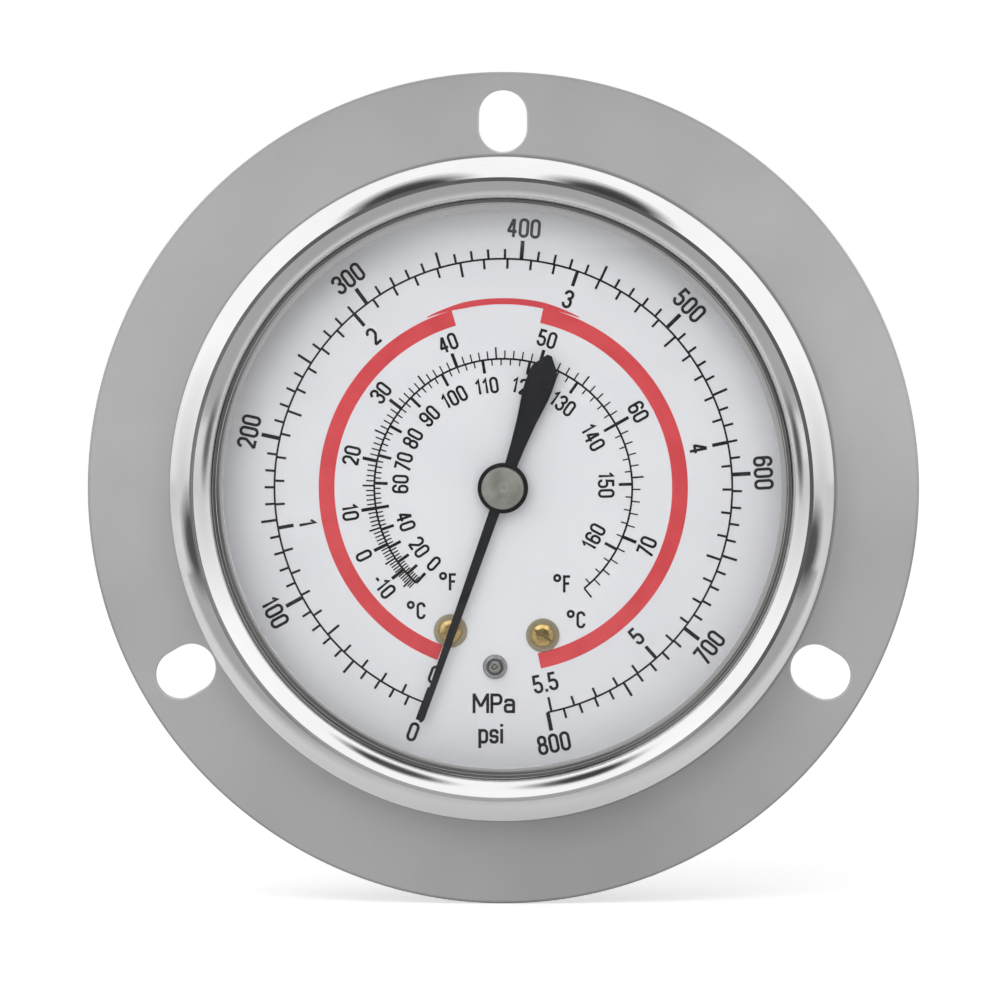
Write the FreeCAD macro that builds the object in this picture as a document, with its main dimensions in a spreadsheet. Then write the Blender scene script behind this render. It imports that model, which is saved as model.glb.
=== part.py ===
"""Panel pressure gauge for refrigerant, nominal size 63 mm, with a front flange and a back connection.

The origin is the middle of the flange's back face. The dial looks towards -Y, +X is to the right of
someone who reads the dial, and +Z is up. A depth is a place along Y, so what is behind the panel has a
positive depth. A bearing is an angle in degrees from the top of the dial, clockwise as it is read.
"""
import FreeCAD, Part
import math
import os
import Sketcher

# Driving dimensions, in millimetres, degrees and counts
SIZES = [
    # Case, window and bezel
    ("case_radius", 31.0),
    ("case_wall", 0.6),
    ("case_depth", 25.0),
    ("case_corner", 3.0),
    ("case_lip_width", 2.1),
    ("case_neck_step", 0.8),
    ("case_neck_length", 0.4),
    ("vent_margin", 0.55),
    ("vent_overlap", 1.2),
    ("vent_head_height", 1.6),
    ("window_inset", 0.5),
    ("window_thickness", 2.0),
    ("window_edge", 0.3),
    ("gasket_thickness", 0.8),
    ("bezel_lip_clearance", 0.2),
    ("bezel_height", 6.4),
    ("bezel_skirt", 3.4),
    ("bezel_wall", 0.5),
    ("bezel_back_round", 0.6),
    ("bezel_shoulder_round", 4.2),
    ("bezel_shoulder_width", 2.0),
    ("bezel_crest_width", 0.3),
    ("bezel_slope_width", 2.0),
    ("bezel_lip_width", 1.1),
    ("crimp_clearance", 0.2),
    # Flange
    ("flange_width", 8.7),
    ("flange_thickness", 1.0),
    ("flange_edge_round", 0.3),
    ("slot_inner_margin", 0.55),
    ("slot_outer_margin", 1.85),
    ("slot_width", 4.9),
    ("slot_count", 3),
    # Socket, its seal and its screws
    ("socket_flange_radius", 16.5),
    ("socket_flange_thickness", 3.5),
    ("socket_seal_thickness", 0.6),
    ("socket_block_width", 15.0),
    ("socket_block_top", 8.0),
    ("holder_wall_below", 2.0),
    ("holder_wall_above", 1.6),
    ("holder_front", 5.4),
    ("wrench_flats", 14.0),
    ("wrench_corner_radius", 9.3),
    ("wrench_length", 8.0),
    ("relief_radius", 4.7),
    ("relief_length", 1.5),
    ("thread_radius", 5.556),
    ("thread_length", 11.5),
    ("thread_chamfer", 0.6),
    ("flare_nose_radius", 2.9),
    ("socket_bore_radius", 2.4),
    ("socket_bore_depth", 14.0),
    ("passage_radius", 0.8),
    ("chamber_length", 2.0),
    ("restrictor_length", 3.0),
    ("restrictor_hole_radius", 0.3),
    ("case_screw_inset", 3.0),
    ("case_screw_count", 3),
    ("case_screw_radius", 1.5),
    ("case_screw_head_radius", 2.5),
    ("case_screw_head_height", 1.6),
    ("case_screw_depth", 3.0),
    # Dial and what fixes it
    ("dial_clearance", 0.8),
    ("dial_depth", 1.0),
    ("dial_thickness", 0.5),
    ("dial_hole_radius", 1.6),
    ("dial_turn", 2.6),
    ("dial_screw_angle", 17.6),
    ("dial_screw_radius", 0.8),
    ("dial_screw_head_radius", 1.15),
    ("dial_screw_head_height", 0.55),
    ("dial_screw_depth", 3.0),
    ("dial_washer_radius", 1.7),
    ("dial_washer_thickness", 0.2),
    ("dial_post_radius", 1.6),
    ("dial_post_gap", 1.4),
    ("dial_post_stud_radius", 0.9),
    ("dial_post_stud_length", 2.5),
    ("stop_pin_circle", 18.2),
    ("stop_pin_radius", 0.6),
    ("stop_pin_collar_radius", 1.25),
    ("stop_pin_height", 2.2),
    # Movement plates
    ("plate_front_depth", 4.0),
    ("plate_thickness", 1.0),
    ("plate_gap", 5.0),
    ("plate_left", 7.5),
    ("front_plate_left", 4.1),
    ("plate_left_half_height", 4.0),
    ("plate_right", 16.5),
    ("plate_right_half_height", 3.5),
    ("plate_half_height", 12.5),
    ("plate_shoulder", 2.0),
    ("plate_corner_round", 1.2),
    ("pillar_across", 3.5),
    ("pillar_inset", 2.9),
    ("pillar_radius", 1.5),
    ("pillar_tenon_radius", 0.8),
    ("plate_screw_radius", 0.75),
    ("plate_screw_head_radius", 1.4),
    ("plate_screw_head_height", 0.9),
    ("plate_screw_depth", 2.5),
    ("movement_screw_across", 3.6),
    ("movement_screw_up", 5.4),
    ("movement_screw_radius", 0.9),
    ("movement_screw_head_radius", 1.6),
    ("movement_screw_head_height", 0.9),
    ("movement_screw_depth", 4.0),
    ("driver_slot_width", 0.5),
    # Teeth
    ("gear_module", 0.2),
    ("pinion_teeth", 10),
    ("sector_teeth", 120),
    ("pressure_angle", 20.0),
    ("pinion_addendum_share", 1.4),
    ("tooth_root_share", 0.25),
    ("tooth_backlash", 0.04),
    ("pinion_face", 2.2),
    ("sector_thickness", 1.0),
    ("sector_back_gap", 1.8),
    # Sector, arbor and link
    ("pointer_sweep", 328.5),
    ("sector_hub_radius", 2.6),
    ("sector_rim", 1.3),
    ("sector_spoke", 1.1),
    ("sector_window_start", 5.6),
    ("sector_tail_reach", 5.0),
    ("sector_tail_bearing", 103.7),
    ("sector_tail_width", 2.6),
    ("arbor_radius", 0.8),
    ("arbor_pivot_radius", 0.45),
    ("link_pin_radius", 0.55),
    ("link_pin_head_radius", 1.0),
    ("link_pin_head_height", 0.3),
    ("link_width", 2.6),
    ("link_thickness", 0.7),
    ("link_side_gap", 0.2),
    ("link_slack", 0.14),
    # Spring tube
    ("tube_arc_radius", 22.0),
    ("tube_sweep", 224.0),
    ("tube_thickness", 3.0),
    ("tube_breadth", 8.0),
    ("tube_wall", 0.4),
    ("tube_edge_round", 1.6),
    ("tube_centre_depth", 10.0),
    ("tube_slot_sweep", 40.0),
    ("tip_cap_sweep", 5.5),
    ("tip_cap_wall", 0.3),
    ("tip_pin_bearing", 54.0),
    ("tip_lug_thickness", 0.8),
    ("tip_lug_radius", 1.5),
    # Pinion shaft, hairspring and pointer
    ("shaft_radius", 0.55),
    ("shaft_pivot_radius", 0.4),
    ("collet_radius", 1.3),
    ("collet_height", 0.8),
    ("collet_gap", 0.2),
    ("spring_thickness", 0.12),
    ("spring_pitch", 0.9),
    ("spring_half_turns", 9),
    ("spring_height", 0.5),
    ("stud_radius", 0.6),
    ("stud_tenon_radius", 0.45),
    ("pointer_bearing", 199.4),
    ("pointer_clear_of_dial", 1.2),
    ("pointer_thickness", 0.4),
    ("pointer_tip_gap", 3.1),
    ("pointer_hub_width", 1.1),
    ("pointer_tip_width", 0.6),
    ("pointer_tail_length", 14.4),
    ("pointer_tail_shoulder", 12.8),
    ("pointer_tail_width", 2.9),
    ("pointer_tail_neck_width", 1.4),
    ("pointer_tail_widening", 9.5),
    ("pointer_disc_radius", 2.57),
    ("hub_radius", 2.15),
    ("hub_height", 1.4),
    ("hub_boss_radius", 1.1),
    ("hub_boss_length", 0.7),
    ("hub_dimple_radius", 0.35),
    ("hub_dimple_depth", 0.15),
    # Clearances
    ("seat_clearance", 0.02),
    ("running_clearance", 0.04),
    ("hole_clearance", 0.1),
]

# The inner corner of a sheet bent through 45 degrees moves along by this share of its thickness
BEND_SHIFT = 0.41
# The inside of the bezel's crest lies this many walls behind the crest, because the fold is tight
CREST_FOLD = 1.3
# A round end is drawn as an arc a little flatter than a half circle, so that its centre is clear
ROUND_END = 1.01
# A cutter reaches this far past what it cuts, as a share
OVERHANG = 1.2
# Two lengths in millimetres are taken as equal when they differ by less than this
SAME_LENGTH = 0.01

FRONT_PLANE = "XZ_Plane"
RADIUS_PLANE = "XY_Plane"
SIDE_PLANE = "YZ_Plane"
ALONG_DEPTH = FreeCAD.Rotation(FreeCAD.Vector(1, 0, 0), -90)

document = FreeCAD.newDocument("PressureGauge")
sheet = document.addObject("Spreadsheet::Sheet", "Sizes")
for row, (alias, number) in enumerate(SIZES, start=1):
    sheet.set(f"A{row}", alias)
    sheet.set(f"B{row}", str(number))
    sheet.setAlias(f"B{row}", alias)
document.recompute()

pieces = []


class Size:
    """A number, kept together with the formula that works it out from the sheet."""

    def __init__(self, number, formula):
        self.number = number
        self.formula = formula

    def __add__(self, other):
        other = as_size(other)
        return Size(self.number + other.number, f"({self.formula} + {other.formula})")

    def __sub__(self, other):
        other = as_size(other)
        return Size(self.number - other.number, f"({self.formula} - {other.formula})")

    def __mul__(self, other):
        other = as_size(other)
        return Size(self.number * other.number, f"({self.formula} * {other.formula})")

    def __truediv__(self, other):
        other = as_size(other)
        return Size(self.number / other.number, f"({self.formula} / {other.formula})")

    def __neg__(self):
        return Size(-self.number, f"(0 - {self.formula})")

    def __radd__(self, other):
        return as_size(other) + self

    def __rsub__(self, other):
        return as_size(other) - self

    def __rmul__(self, other):
        return as_size(other) * self

    def __rtruediv__(self, other):
        return as_size(other) / self


def as_size(value):
    """A plain number as a Size, and a Size as it is."""
    return value if isinstance(value, Size) else Size(value, f"({float(value)})")


def of(alias):
    """The Size that the sheet holds under this alias."""
    return Size(float(sheet.get(alias)), f"Sizes.{alias}")


def sine(degrees):
    return Size(math.sin(math.radians(degrees.number)), f"sin({degrees.formula} * 1deg)")


def cosine(degrees):
    return Size(math.cos(math.radians(degrees.number)), f"cos({degrees.formula} * 1deg)")


def square_root(value):
    return Size(math.sqrt(value.number), f"sqrt({value.formula})")


def polar(radius, bearing, centre=(0, 0)):
    """The place (across, up) at a radius and bearing from a centre."""
    return (centre[0] + radius * sine(bearing), centre[1] + radius * cosine(bearing))


def bind(thing, path, value):
    """Ties a property of a thing to the sheet."""
    thing.setExpression(path, as_size(value).formula)


def keep(thing, label):
    """Names a finished piece and puts it on the list that is written out."""
    thing.Label = label
    pieces.append(thing)
    return thing


# Sizes that follow from the case, the tube and the plates
case_lip_radius = of("case_radius") + of("case_lip_width")
neck_radius = of("case_radius") + of("case_neck_step")
window_radius = case_lip_radius - of("window_inset")
bezel_radius = case_lip_radius + of("bezel_lip_clearance") + of("bezel_wall")
crest_radius = bezel_radius - of("bezel_shoulder_width")
slope_radius = crest_radius - of("bezel_crest_width") - of("bezel_slope_width")
opening_radius = slope_radius - of("bezel_lip_width")
flange_radius = bezel_radius + of("flange_width")
slot_length = of("flange_width") - of("slot_inner_margin") - of("slot_outer_margin")
slot_height = bezel_radius + of("slot_inner_margin") + slot_length / 2
dial_radius = of("case_radius") - of("case_wall") - of("dial_clearance")
pointer_length = opening_radius - of("pointer_tip_gap")
case_screw_circle = of("socket_flange_radius") - of("case_screw_inset")
floor_radius = of("case_radius") - of("case_corner")
vent_height = (floor_radius + of("socket_flange_radius")) / 2
vent_head_radius = (floor_radius - of("socket_flange_radius")) / 2 - of("vent_margin")
vent_hole_radius = vent_head_radius - of("vent_overlap")
holder_bottom = of("tube_arc_radius") + of("tube_thickness") / 2 + of("holder_wall_below")
holder_top = of("tube_arc_radius") - of("tube_thickness") / 2 - of("holder_wall_above")
dial_screw_circle = of("plate_half_height") + of("dial_post_gap") + of("dial_post_radius")
pillar_up = of("plate_half_height") - of("pillar_inset")

# Places that several pieces share
ORIGIN = (Size(0.0, "(0.0)"), Size(0.0, "(0.0)"))
flange_front = -of("flange_thickness")
crimp_front = flange_front - of("bezel_wall")
lip_front = crimp_front - of("case_wall")
gasket_front = lip_front - of("gasket_thickness")
window_front = gasket_front - of("window_thickness")
bezel_lip_front = window_front - of("bezel_wall")
bezel_crest = flange_front - of("bezel_height")

case_floor = of("case_depth") - of("case_wall")
socket_flange_back = case_floor - of("socket_seal_thickness")
socket_flange_front = socket_flange_back - of("socket_flange_thickness")
wrench_end = of("case_depth") + of("wrench_length")
thread_start = wrench_end + of("relief_length")
thread_end = thread_start + of("thread_length")
flare_end = thread_end + of("thread_radius") - of("thread_chamfer") - of("flare_nose_radius")

dial_front = of("dial_depth")
dial_back = dial_front + of("dial_thickness")
dial_middle_bearing = 180 + of("dial_turn")
dial_screw_places = [
    polar(dial_screw_circle, dial_middle_bearing - of("dial_screw_angle")),
    polar(dial_screw_circle, dial_middle_bearing + of("dial_screw_angle")),
]
stop_pin_place = polar(of("stop_pin_circle"), dial_middle_bearing)

front_plate_back = of("plate_front_depth") + of("plate_thickness")
back_plate_front = front_plate_back + of("plate_gap")
back_plate_back = back_plate_front + of("plate_thickness")
pillar_places = [(of("pillar_across"), pillar_up), (of("pillar_across"), -pillar_up)]
movement_screw_places = [
    (-of("movement_screw_across"), of("movement_screw_up")),
    (-of("movement_screw_across"), -of("movement_screw_up")),
]

gear_ratio = of("sector_teeth") / of("pinion_teeth")
pinion_pitch_radius = of("gear_module") * of("pinion_teeth") / 2
sector_pitch_radius = of("gear_module") * of("sector_teeth") / 2
arbor_place = (pinion_pitch_radius + sector_pitch_radius, ORIGIN[1])
sector_back = back_plate_front - of("sector_back_gap")
sector_front = sector_back - of("sector_thickness")
pinion_back = sector_back + (of("pinion_face") - of("sector_thickness")) / 2
pinion_front = pinion_back - of("pinion_face")
link_front = sector_back + of("link_side_gap")
link_back = link_front + of("link_thickness")
lug_front = link_back + of("link_side_gap")
lug_back = lug_front + of("tip_lug_thickness")
tail_place = polar(of("sector_tail_reach"), of("sector_tail_bearing"), arbor_place)
tip_place = polar(of("tube_arc_radius"), of("tip_pin_bearing"))

collet_front = front_plate_back + of("collet_gap")
collet_back = collet_front + of("collet_height")
spring_start_radius = of("collet_radius") + of("seat_clearance") + of("spring_thickness") / 2
spring_end_radius = spring_start_radius + of("spring_pitch") * (of("spring_half_turns") - 1) / 2
stud_place = (-spring_end_radius, -(of("stud_radius") + of("seat_clearance")))

pointer_back = dial_front - of("pointer_clear_of_dial")
pointer_front = pointer_back - of("pointer_thickness")
hub_front = pointer_front - of("hub_height")
shaft_front = hub_front + of("hub_height") / 2


# Helpers that draw and build

def new_body(label):
    return keep(document.addObject("PartDesign::Body", label), label)


def new_sketch(body, name, plane, offset=0):
    """An empty sketch on one of the body's own planes, moved along the plane's normal."""
    sketch = body.newObject("Sketcher::SketchObject", name)
    support = [face for face in body.Origin.OriginFeatures if face.Role == plane][0]
    sketch.AttachmentSupport = (support, "")
    sketch.MapMode = "FlatFace"
    bind(sketch, "AttachmentOffset.Base.z", offset)
    return sketch


def measure(sketch, kind, what, value):
    """Adds a dimension to a sketch and ties it to the sheet."""
    index = sketch.addConstraint(Sketcher.Constraint(kind, *what, value.number))
    name = f"dimension_{index}"
    sketch.renameConstraint(index, name)
    bind(sketch, f"Constraints.{name}", value)


def pin_down(sketch, geometry, end, place):
    """Fixes one point of a sketch by its distances from the origin."""
    measure(sketch, "DistanceX", (-1, 1, geometry, end), as_size(place[0]))
    measure(sketch, "DistanceY", (-1, 1, geometry, end), as_size(place[1]))


def circle(sketch, place, radius):
    centre = FreeCAD.Vector(as_size(place[0]).number, as_size(place[1]).number, 0)
    ring = sketch.addGeometry(Part.Circle(centre, FreeCAD.Vector(0, 0, 1), radius.number), False)
    pin_down(sketch, ring, 3, place)
    measure(sketch, "Radius", (ring,), radius)


def outline(sketch, corners):
    """A closed outline through corners (across, up).

    A third value on a corner is the radius of the arc that leaves it: positive where the outline
    turns anticlockwise along that arc, and negative where it turns clockwise.
    """
    points = [FreeCAD.Vector(as_size(c[0]).number, as_size(c[1]).number, 0) for c in corners]
    runs = []
    for index, corner in enumerate(corners):
        start = points[index]
        end = points[(index + 1) % len(corners)]
        if len(corner) == 2:
            run = sketch.addGeometry(Part.LineSegment(start, end), False)
            runs.append((run, 1, 2))
            continue
        radius = as_size(corner[2])
        turn = 1 if radius.number > 0 else -1
        chord = end - start
        rise = math.sqrt(max(radius.number ** 2 - (chord.Length / 2) ** 2, 0.0))
        side = FreeCAD.Vector(-chord.y, chord.x, 0).normalize() * rise * turn
        centre = (start + end) * 0.5 + side
        first, last = (start, end) if turn > 0 else (end, start)
        ring = Part.Circle(centre, FreeCAD.Vector(0, 0, 1), abs(radius.number))
        from_angle = math.atan2(first.y - centre.y, first.x - centre.x)
        to_angle = math.atan2(last.y - centre.y, last.x - centre.x)
        run = sketch.addGeometry(Part.ArcOfCircle(ring, from_angle, to_angle), False)
        runs.append((run, 1, 2) if turn > 0 else (run, 2, 1))
        measure(sketch, "Radius", (run,), radius if turn > 0 else -radius)
    for index, (run, start_end, far_end) in enumerate(runs):
        following, following_end, unused = runs[(index + 1) % len(runs)]
        sketch.addConstraint(Sketcher.Constraint("Coincident", run, far_end, following, following_end))
        pin_down(sketch, run, start_end, corners[index])


def rectangle(sketch, low, high):
    outline(sketch, [low, (high[0], low[1]), high, (low[0], high[1])])


def slot(sketch, height, length, width):
    """A slot with round ends, along the up axis, with its middle at a height."""
    radius = width / 2
    reach = (length - width) / 2
    up = FreeCAD.Vector(0, 0, 1)
    top_centre = FreeCAD.Vector(0, (height + reach).number, 0)
    low_centre = FreeCAD.Vector(0, (height - reach).number, 0)
    side = FreeCAD.Vector(radius.number, 0, 0)
    top = Part.ArcOfCircle(Part.Circle(top_centre, up, radius.number), 0, math.pi)
    low = Part.ArcOfCircle(Part.Circle(low_centre, up, radius.number), math.pi, 2 * math.pi)
    runs = [
        sketch.addGeometry(Part.LineSegment(low_centre + side, top_centre + side), False),
        sketch.addGeometry(top, False),
        sketch.addGeometry(Part.LineSegment(top_centre - side, low_centre - side), False),
        sketch.addGeometry(low, False),
    ]
    for index, run in enumerate(runs):
        sketch.addConstraint(Sketcher.Constraint("Tangent", run, 2, runs[(index + 1) % 4], 1))
    pin_down(sketch, runs[1], 3, (ORIGIN[0], height + reach))
    pin_down(sketch, runs[3], 3, (ORIGIN[0], height - reach))
    measure(sketch, "Radius", (runs[1],), radius)
    measure(sketch, "Radius", (runs[3],), radius)


def front_sketch(body, name, depth):
    """A sketch seen as the dial is read, at a depth. Its normal points to the reader."""
    return new_sketch(body, name, FRONT_PLANE, -as_size(depth))


def pad_back(body, sketch, thickness):
    """A plate from the sketch's depth away from the reader."""
    pad = body.newObject("PartDesign::Pad", f"{sketch.Name}Pad")
    pad.Profile = sketch
    pad.Reversed = True
    bind(pad, "Length", thickness)
    return pad


def pocket_back(body, sketch, depth):
    """A cut from the sketch's depth away from the reader."""
    before = document.recompute() and body.Shape.Volume
    pocket = body.newObject("PartDesign::Pocket", f"{sketch.Name}Pocket")
    pocket.Profile = sketch
    pocket.Reversed = False
    bind(pocket, "Length", depth)
    document.recompute()
    if not body.Shape.Volume < before:
        raise RuntimeError(f"{sketch.Name} cuts nothing")
    return pocket


def turn_round(body, name, corners):
    """A turned piece about the depth axis, from an outline of (radius, depth)."""
    sketch = new_sketch(body, name, RADIUS_PLANE)
    outline(sketch, corners)
    turned_piece = body.newObject("PartDesign::Revolution", f"{name}Turn")
    turned_piece.Profile = sketch
    turned_piece.ReferenceAxis = (sketch, ["V_Axis"])
    turned_piece.Angle = 360
    return turned_piece


def repeat_round(body, feature, count):
    """The same feature again, all the way round the depth axis."""
    pattern = body.newObject("PartDesign::PolarPattern", f"{feature.Name}Round")
    pattern.Originals = [feature]
    axis = [line for line in body.Origin.OriginFeatures if line.Role == "Y_Axis"][0]
    pattern.Axis = (axis, [""])
    pattern.Angle = 360
    bind(pattern, "Occurrences", count)
    body.Tip = pattern
    return pattern


def rod(place, radius, start, end):
    """A round rod along the depth axis, from one depth to another."""
    step = document.addObject("Part::Cylinder", "Step")
    step.Placement = FreeCAD.Placement(FreeCAD.Vector(), ALONG_DEPTH)
    bind(step, "Radius", radius)
    bind(step, "Height", end - start)
    bind(step, "Placement.Base.x", place[0])
    bind(step, "Placement.Base.y", start)
    bind(step, "Placement.Base.z", place[1])
    return step


def block(low, lengths):
    """A box from its low corner (across, depth, up)."""
    box = document.addObject("Part::Box", "Block")
    for side, length in zip(("Length", "Width", "Height"), lengths):
        bind(box, side, length)
    for axis, value in zip("xyz", low):
        bind(box, f"Placement.Base.{axis}", value)
    return box


def joined(shapes):
    if len(shapes) == 1:
        return shapes[0]
    fused = document.addObject("Part::MultiFuse", "Joined")
    fused.Shapes = shapes
    fused.Refine = True
    return fused


def without(base, tools):
    """What is left of a base when the tools have cut it."""
    cut = document.addObject("Part::Cut", "Cut")
    cut.Base = base
    cut.Tool = joined(tools)
    return cut


def stepped(places, steps):
    """The same stepped rod at each place. A step is (radius, start depth, end depth)."""
    return joined([rod(place, *step) for place in places for step in steps])


def driver_slots(places, head_radius, head_front, slot_depth):
    """Cutters for the screwdriver slots of heads that start at a depth."""
    width = of("driver_slot_width")
    cutters = []
    for place in places:
        low = (place[0] - head_radius - width, head_front - slot_depth, place[1] - width / 2)
        cutters.append(block(low, (2 * (head_radius + width), 2 * slot_depth, width)))
    return cutters


def flat_shape(name, face, depth, thickness):
    """A plate of a face that lies at depth nought, moved to its depth."""
    feature = document.addObject("Part::Feature", name)
    feature.Shape = face.extrude(FreeCAD.Vector(0, thickness.number, 0))
    feature.Placement = FreeCAD.Placement(FreeCAD.Vector(0, depth.number, 0), FreeCAD.Rotation())
    return feature


# Case and front

def make_mounting_flange():
    body = new_body("mounting_flange")
    disc = front_sketch(body, "FlangeDisc", flange_front)
    circle(disc, ORIGIN, flange_radius)
    circle(disc, ORIGIN, neck_radius + of("seat_clearance"))
    plate = pad_back(body, disc, of("flange_thickness"))
    document.recompute()
    rim = [
        f"Edge{number}"
        for number, edge in enumerate(plate.Shape.Edges, start=1)
        if abs(edge.BoundBox.XLength - 2 * flange_radius.number) < SAME_LENGTH
        and edge.BoundBox.YLength < SAME_LENGTH
        and edge.BoundBox.YMin < flange_front.number / 2
    ]
    rounding = body.newObject("PartDesign::Fillet", "FlangeRound")
    rounding.Base = (plate, rim)
    bind(rounding, "Radius", of("flange_edge_round"))
    opening = front_sketch(body, "FlangeSlot", flange_front)
    slot(opening, slot_height, slot_length, of("slot_width"))
    pocket = pocket_back(body, opening, of("flange_thickness"))
    repeat_round(body, pocket, of("slot_count"))


def make_bezel_ring():
    body = new_body("bezel_ring")
    skirt_front = flange_front - of("bezel_skirt")
    back_round = of("bezel_back_round")
    inside = bezel_radius - of("bezel_wall")
    crimp_edge = neck_radius + of("crimp_clearance")
    turn_round(body, "BezelSection", [
        (crimp_edge, flange_front),
        (bezel_radius - back_round, flange_front, -back_round),
        (bezel_radius, flange_front - back_round),
        (bezel_radius, skirt_front, -of("bezel_shoulder_round")),
        (crest_radius, bezel_crest),
        (crest_radius - of("bezel_crest_width"), bezel_crest),
        (slope_radius, bezel_lip_front),
        (opening_radius, bezel_lip_front),
        (opening_radius, window_front),
        (slope_radius + of("bezel_wall") * BEND_SHIFT, window_front),
        (crest_radius - of("bezel_wall") / 4,
         bezel_crest + of("bezel_wall") * CREST_FOLD, of("bezel_shoulder_round") - of("bezel_wall")),
        (inside, skirt_front),
        (inside, crimp_front),
        (crimp_edge, crimp_front),
    ])


def make_window():
    body = new_body("window")
    edge = of("window_edge")
    turn_round(body, "WindowSection", [
        (0, window_front),
        (window_radius - edge, window_front),
        (window_radius, window_front + edge),
        (window_radius, gasket_front - edge),
        (window_radius - edge, gasket_front),
        (0, gasket_front),
    ])


def make_window_gasket():
    body = new_body("window_gasket")
    ring = front_sketch(body, "GasketRing", gasket_front)
    circle(ring, ORIGIN, window_radius)
    circle(ring, ORIGIN, neck_radius - of("case_wall"))
    pad_back(body, ring, of("gasket_thickness"))


def make_case_cup():
    body = new_body("case_cup")
    wall = of("case_wall")
    corner = of("case_corner")
    inside = of("case_radius") - wall
    neck_end = of("case_neck_length") + of("case_neck_step")
    hole = of("wrench_corner_radius") + of("hole_clearance")
    turn_round(body, "CupSection", [
        (neck_radius - wall, lip_front),
        (case_lip_radius, lip_front),
        (case_lip_radius, crimp_front),
        (neck_radius, crimp_front),
        (neck_radius, of("case_neck_length")),
        (of("case_radius"), neck_end),
        (of("case_radius"), of("case_depth") - corner, corner),
        (of("case_radius") - corner, of("case_depth")),
        (hole, of("case_depth")),
        (hole, case_floor),
        (of("case_radius") - corner, case_floor, wall - corner),
        (inside, of("case_depth") - corner),
        (inside, neck_end - wall * BEND_SHIFT),
        (neck_radius - wall, of("case_neck_length") - wall * BEND_SHIFT),
    ])
    vent = front_sketch(body, "VentHole", case_floor)
    circle(vent, (0, vent_height), vent_hole_radius)
    pocket_back(body, vent, wall)
    screw_hole = front_sketch(body, "CaseScrewHole", case_floor)
    circle(screw_hole, (0, case_screw_circle), of("case_screw_radius") + of("hole_clearance"))
    pocket = pocket_back(body, screw_hole, wall)
    repeat_round(body, pocket, of("case_screw_count"))


def make_vent_plug():
    place = (ORIGIN[0], vent_height)
    neck = vent_hole_radius - of("seat_clearance")
    lip = (vent_hole_radius + vent_head_radius) / 2
    keep(stepped([place], [
        (lip, case_floor - of("vent_head_height"), case_floor),
        (neck, case_floor, of("case_depth")),
        (vent_head_radius, of("case_depth"), of("case_depth") + of("vent_head_height")),
    ]), "vent_plug")


def case_screw_places():
    count = int(of("case_screw_count").number)
    step = 360 / of("case_screw_count")
    return [polar(case_screw_circle, step * index) for index in range(count)]


def make_case_screws():
    head_back = of("case_depth") + of("case_screw_head_height")
    screws = stepped(case_screw_places(), [
        (of("case_screw_radius"), socket_flange_back - of("case_screw_depth"), of("case_depth")),
        (of("case_screw_head_radius"), of("case_depth"), head_back),
    ])
    cutters = driver_slots(case_screw_places(), of("case_screw_head_radius"), head_back,
                           of("case_screw_head_height") / 2)
    keep(without(screws, cutters), "case_screws")


def make_socket_seal():
    body = new_body("socket_seal")
    ring = front_sketch(body, "SealRing", socket_flange_back)
    circle(ring, ORIGIN, of("socket_flange_radius"))
    circle(ring, ORIGIN, of("wrench_corner_radius") + of("hole_clearance"))
    for place in case_screw_places():
        circle(ring, place, of("case_screw_radius") + of("hole_clearance"))
    pad_back(body, ring, of("socket_seal_thickness"))


# Socket

def make_socket():
    body = new_body("socket")
    bore_end = flare_end - of("socket_bore_depth")
    bore = of("socket_bore_radius")
    chamfer = of("thread_chamfer")
    turn_round(body, "SocketSection", [
        (0, socket_flange_front),
        (of("socket_flange_radius"), socket_flange_front),
        (of("socket_flange_radius"), socket_flange_back),
        (of("wrench_corner_radius"), socket_flange_back),
        (of("wrench_corner_radius"), wrench_end),
        (of("relief_radius"), wrench_end),
        (of("relief_radius"), thread_start),
        (of("thread_radius") - chamfer, thread_start),
        (of("thread_radius"), thread_start + chamfer),
        (of("thread_radius"), thread_end - chamfer),
        (of("thread_radius") - chamfer, thread_end),
        (of("flare_nose_radius"), flare_end),
        (bore, flare_end),
        (bore, bore_end),
        (0, bore_end),
    ])
    width = of("socket_block_width") / 2
    upper = front_sketch(body, "SocketBlock", back_plate_back)
    rectangle(upper, (-width, -holder_bottom), (width, of("socket_block_top")))
    pad_back(body, upper, socket_flange_front - back_plate_back)
    holder = front_sketch(body, "TubeHolder", of("holder_front"))
    rectangle(holder, (-width, -holder_bottom), (width, -holder_top))
    pad_back(body, holder, back_plate_back - of("holder_front"))
    cut_tube_slot(body)
    cut_wrench_flats(body)
    cut_socket_holes(body)


def cut_tube_slot(body):
    """The curved slot in which the fixed end of the spring tube is brazed."""
    section = new_sketch(body, "TubeSlot", SIDE_PLANE)
    half_breadth = of("tube_breadth") / 2 + of("seat_clearance")
    half_thickness = of("tube_thickness") / 2 + of("seat_clearance")
    middle = of("tube_centre_depth")
    radius = of("tube_arc_radius")
    rectangle(section, (middle - half_breadth, -(radius + half_thickness)),
              (middle + half_breadth, -(radius - half_thickness)))
    document.recompute()
    before = body.Shape.Volume
    groove = body.newObject("PartDesign::Groove", "TubeSlotGroove")
    groove.Profile = section
    groove.ReferenceAxis = (section, ["H_Axis"])
    bind(groove, "Angle", of("tube_slot_sweep"))
    document.recompute()
    if not body.Shape.Volume < before:
        raise RuntimeError("the tube slot cuts nothing")
    chamber = front_sketch(body, "PressureChamber", middle - half_breadth)
    rectangle(chamber, (0, -(radius + half_thickness)), (of("chamber_length"), -(radius - half_thickness)))
    pocket_back(body, chamber, half_breadth * 2)


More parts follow.
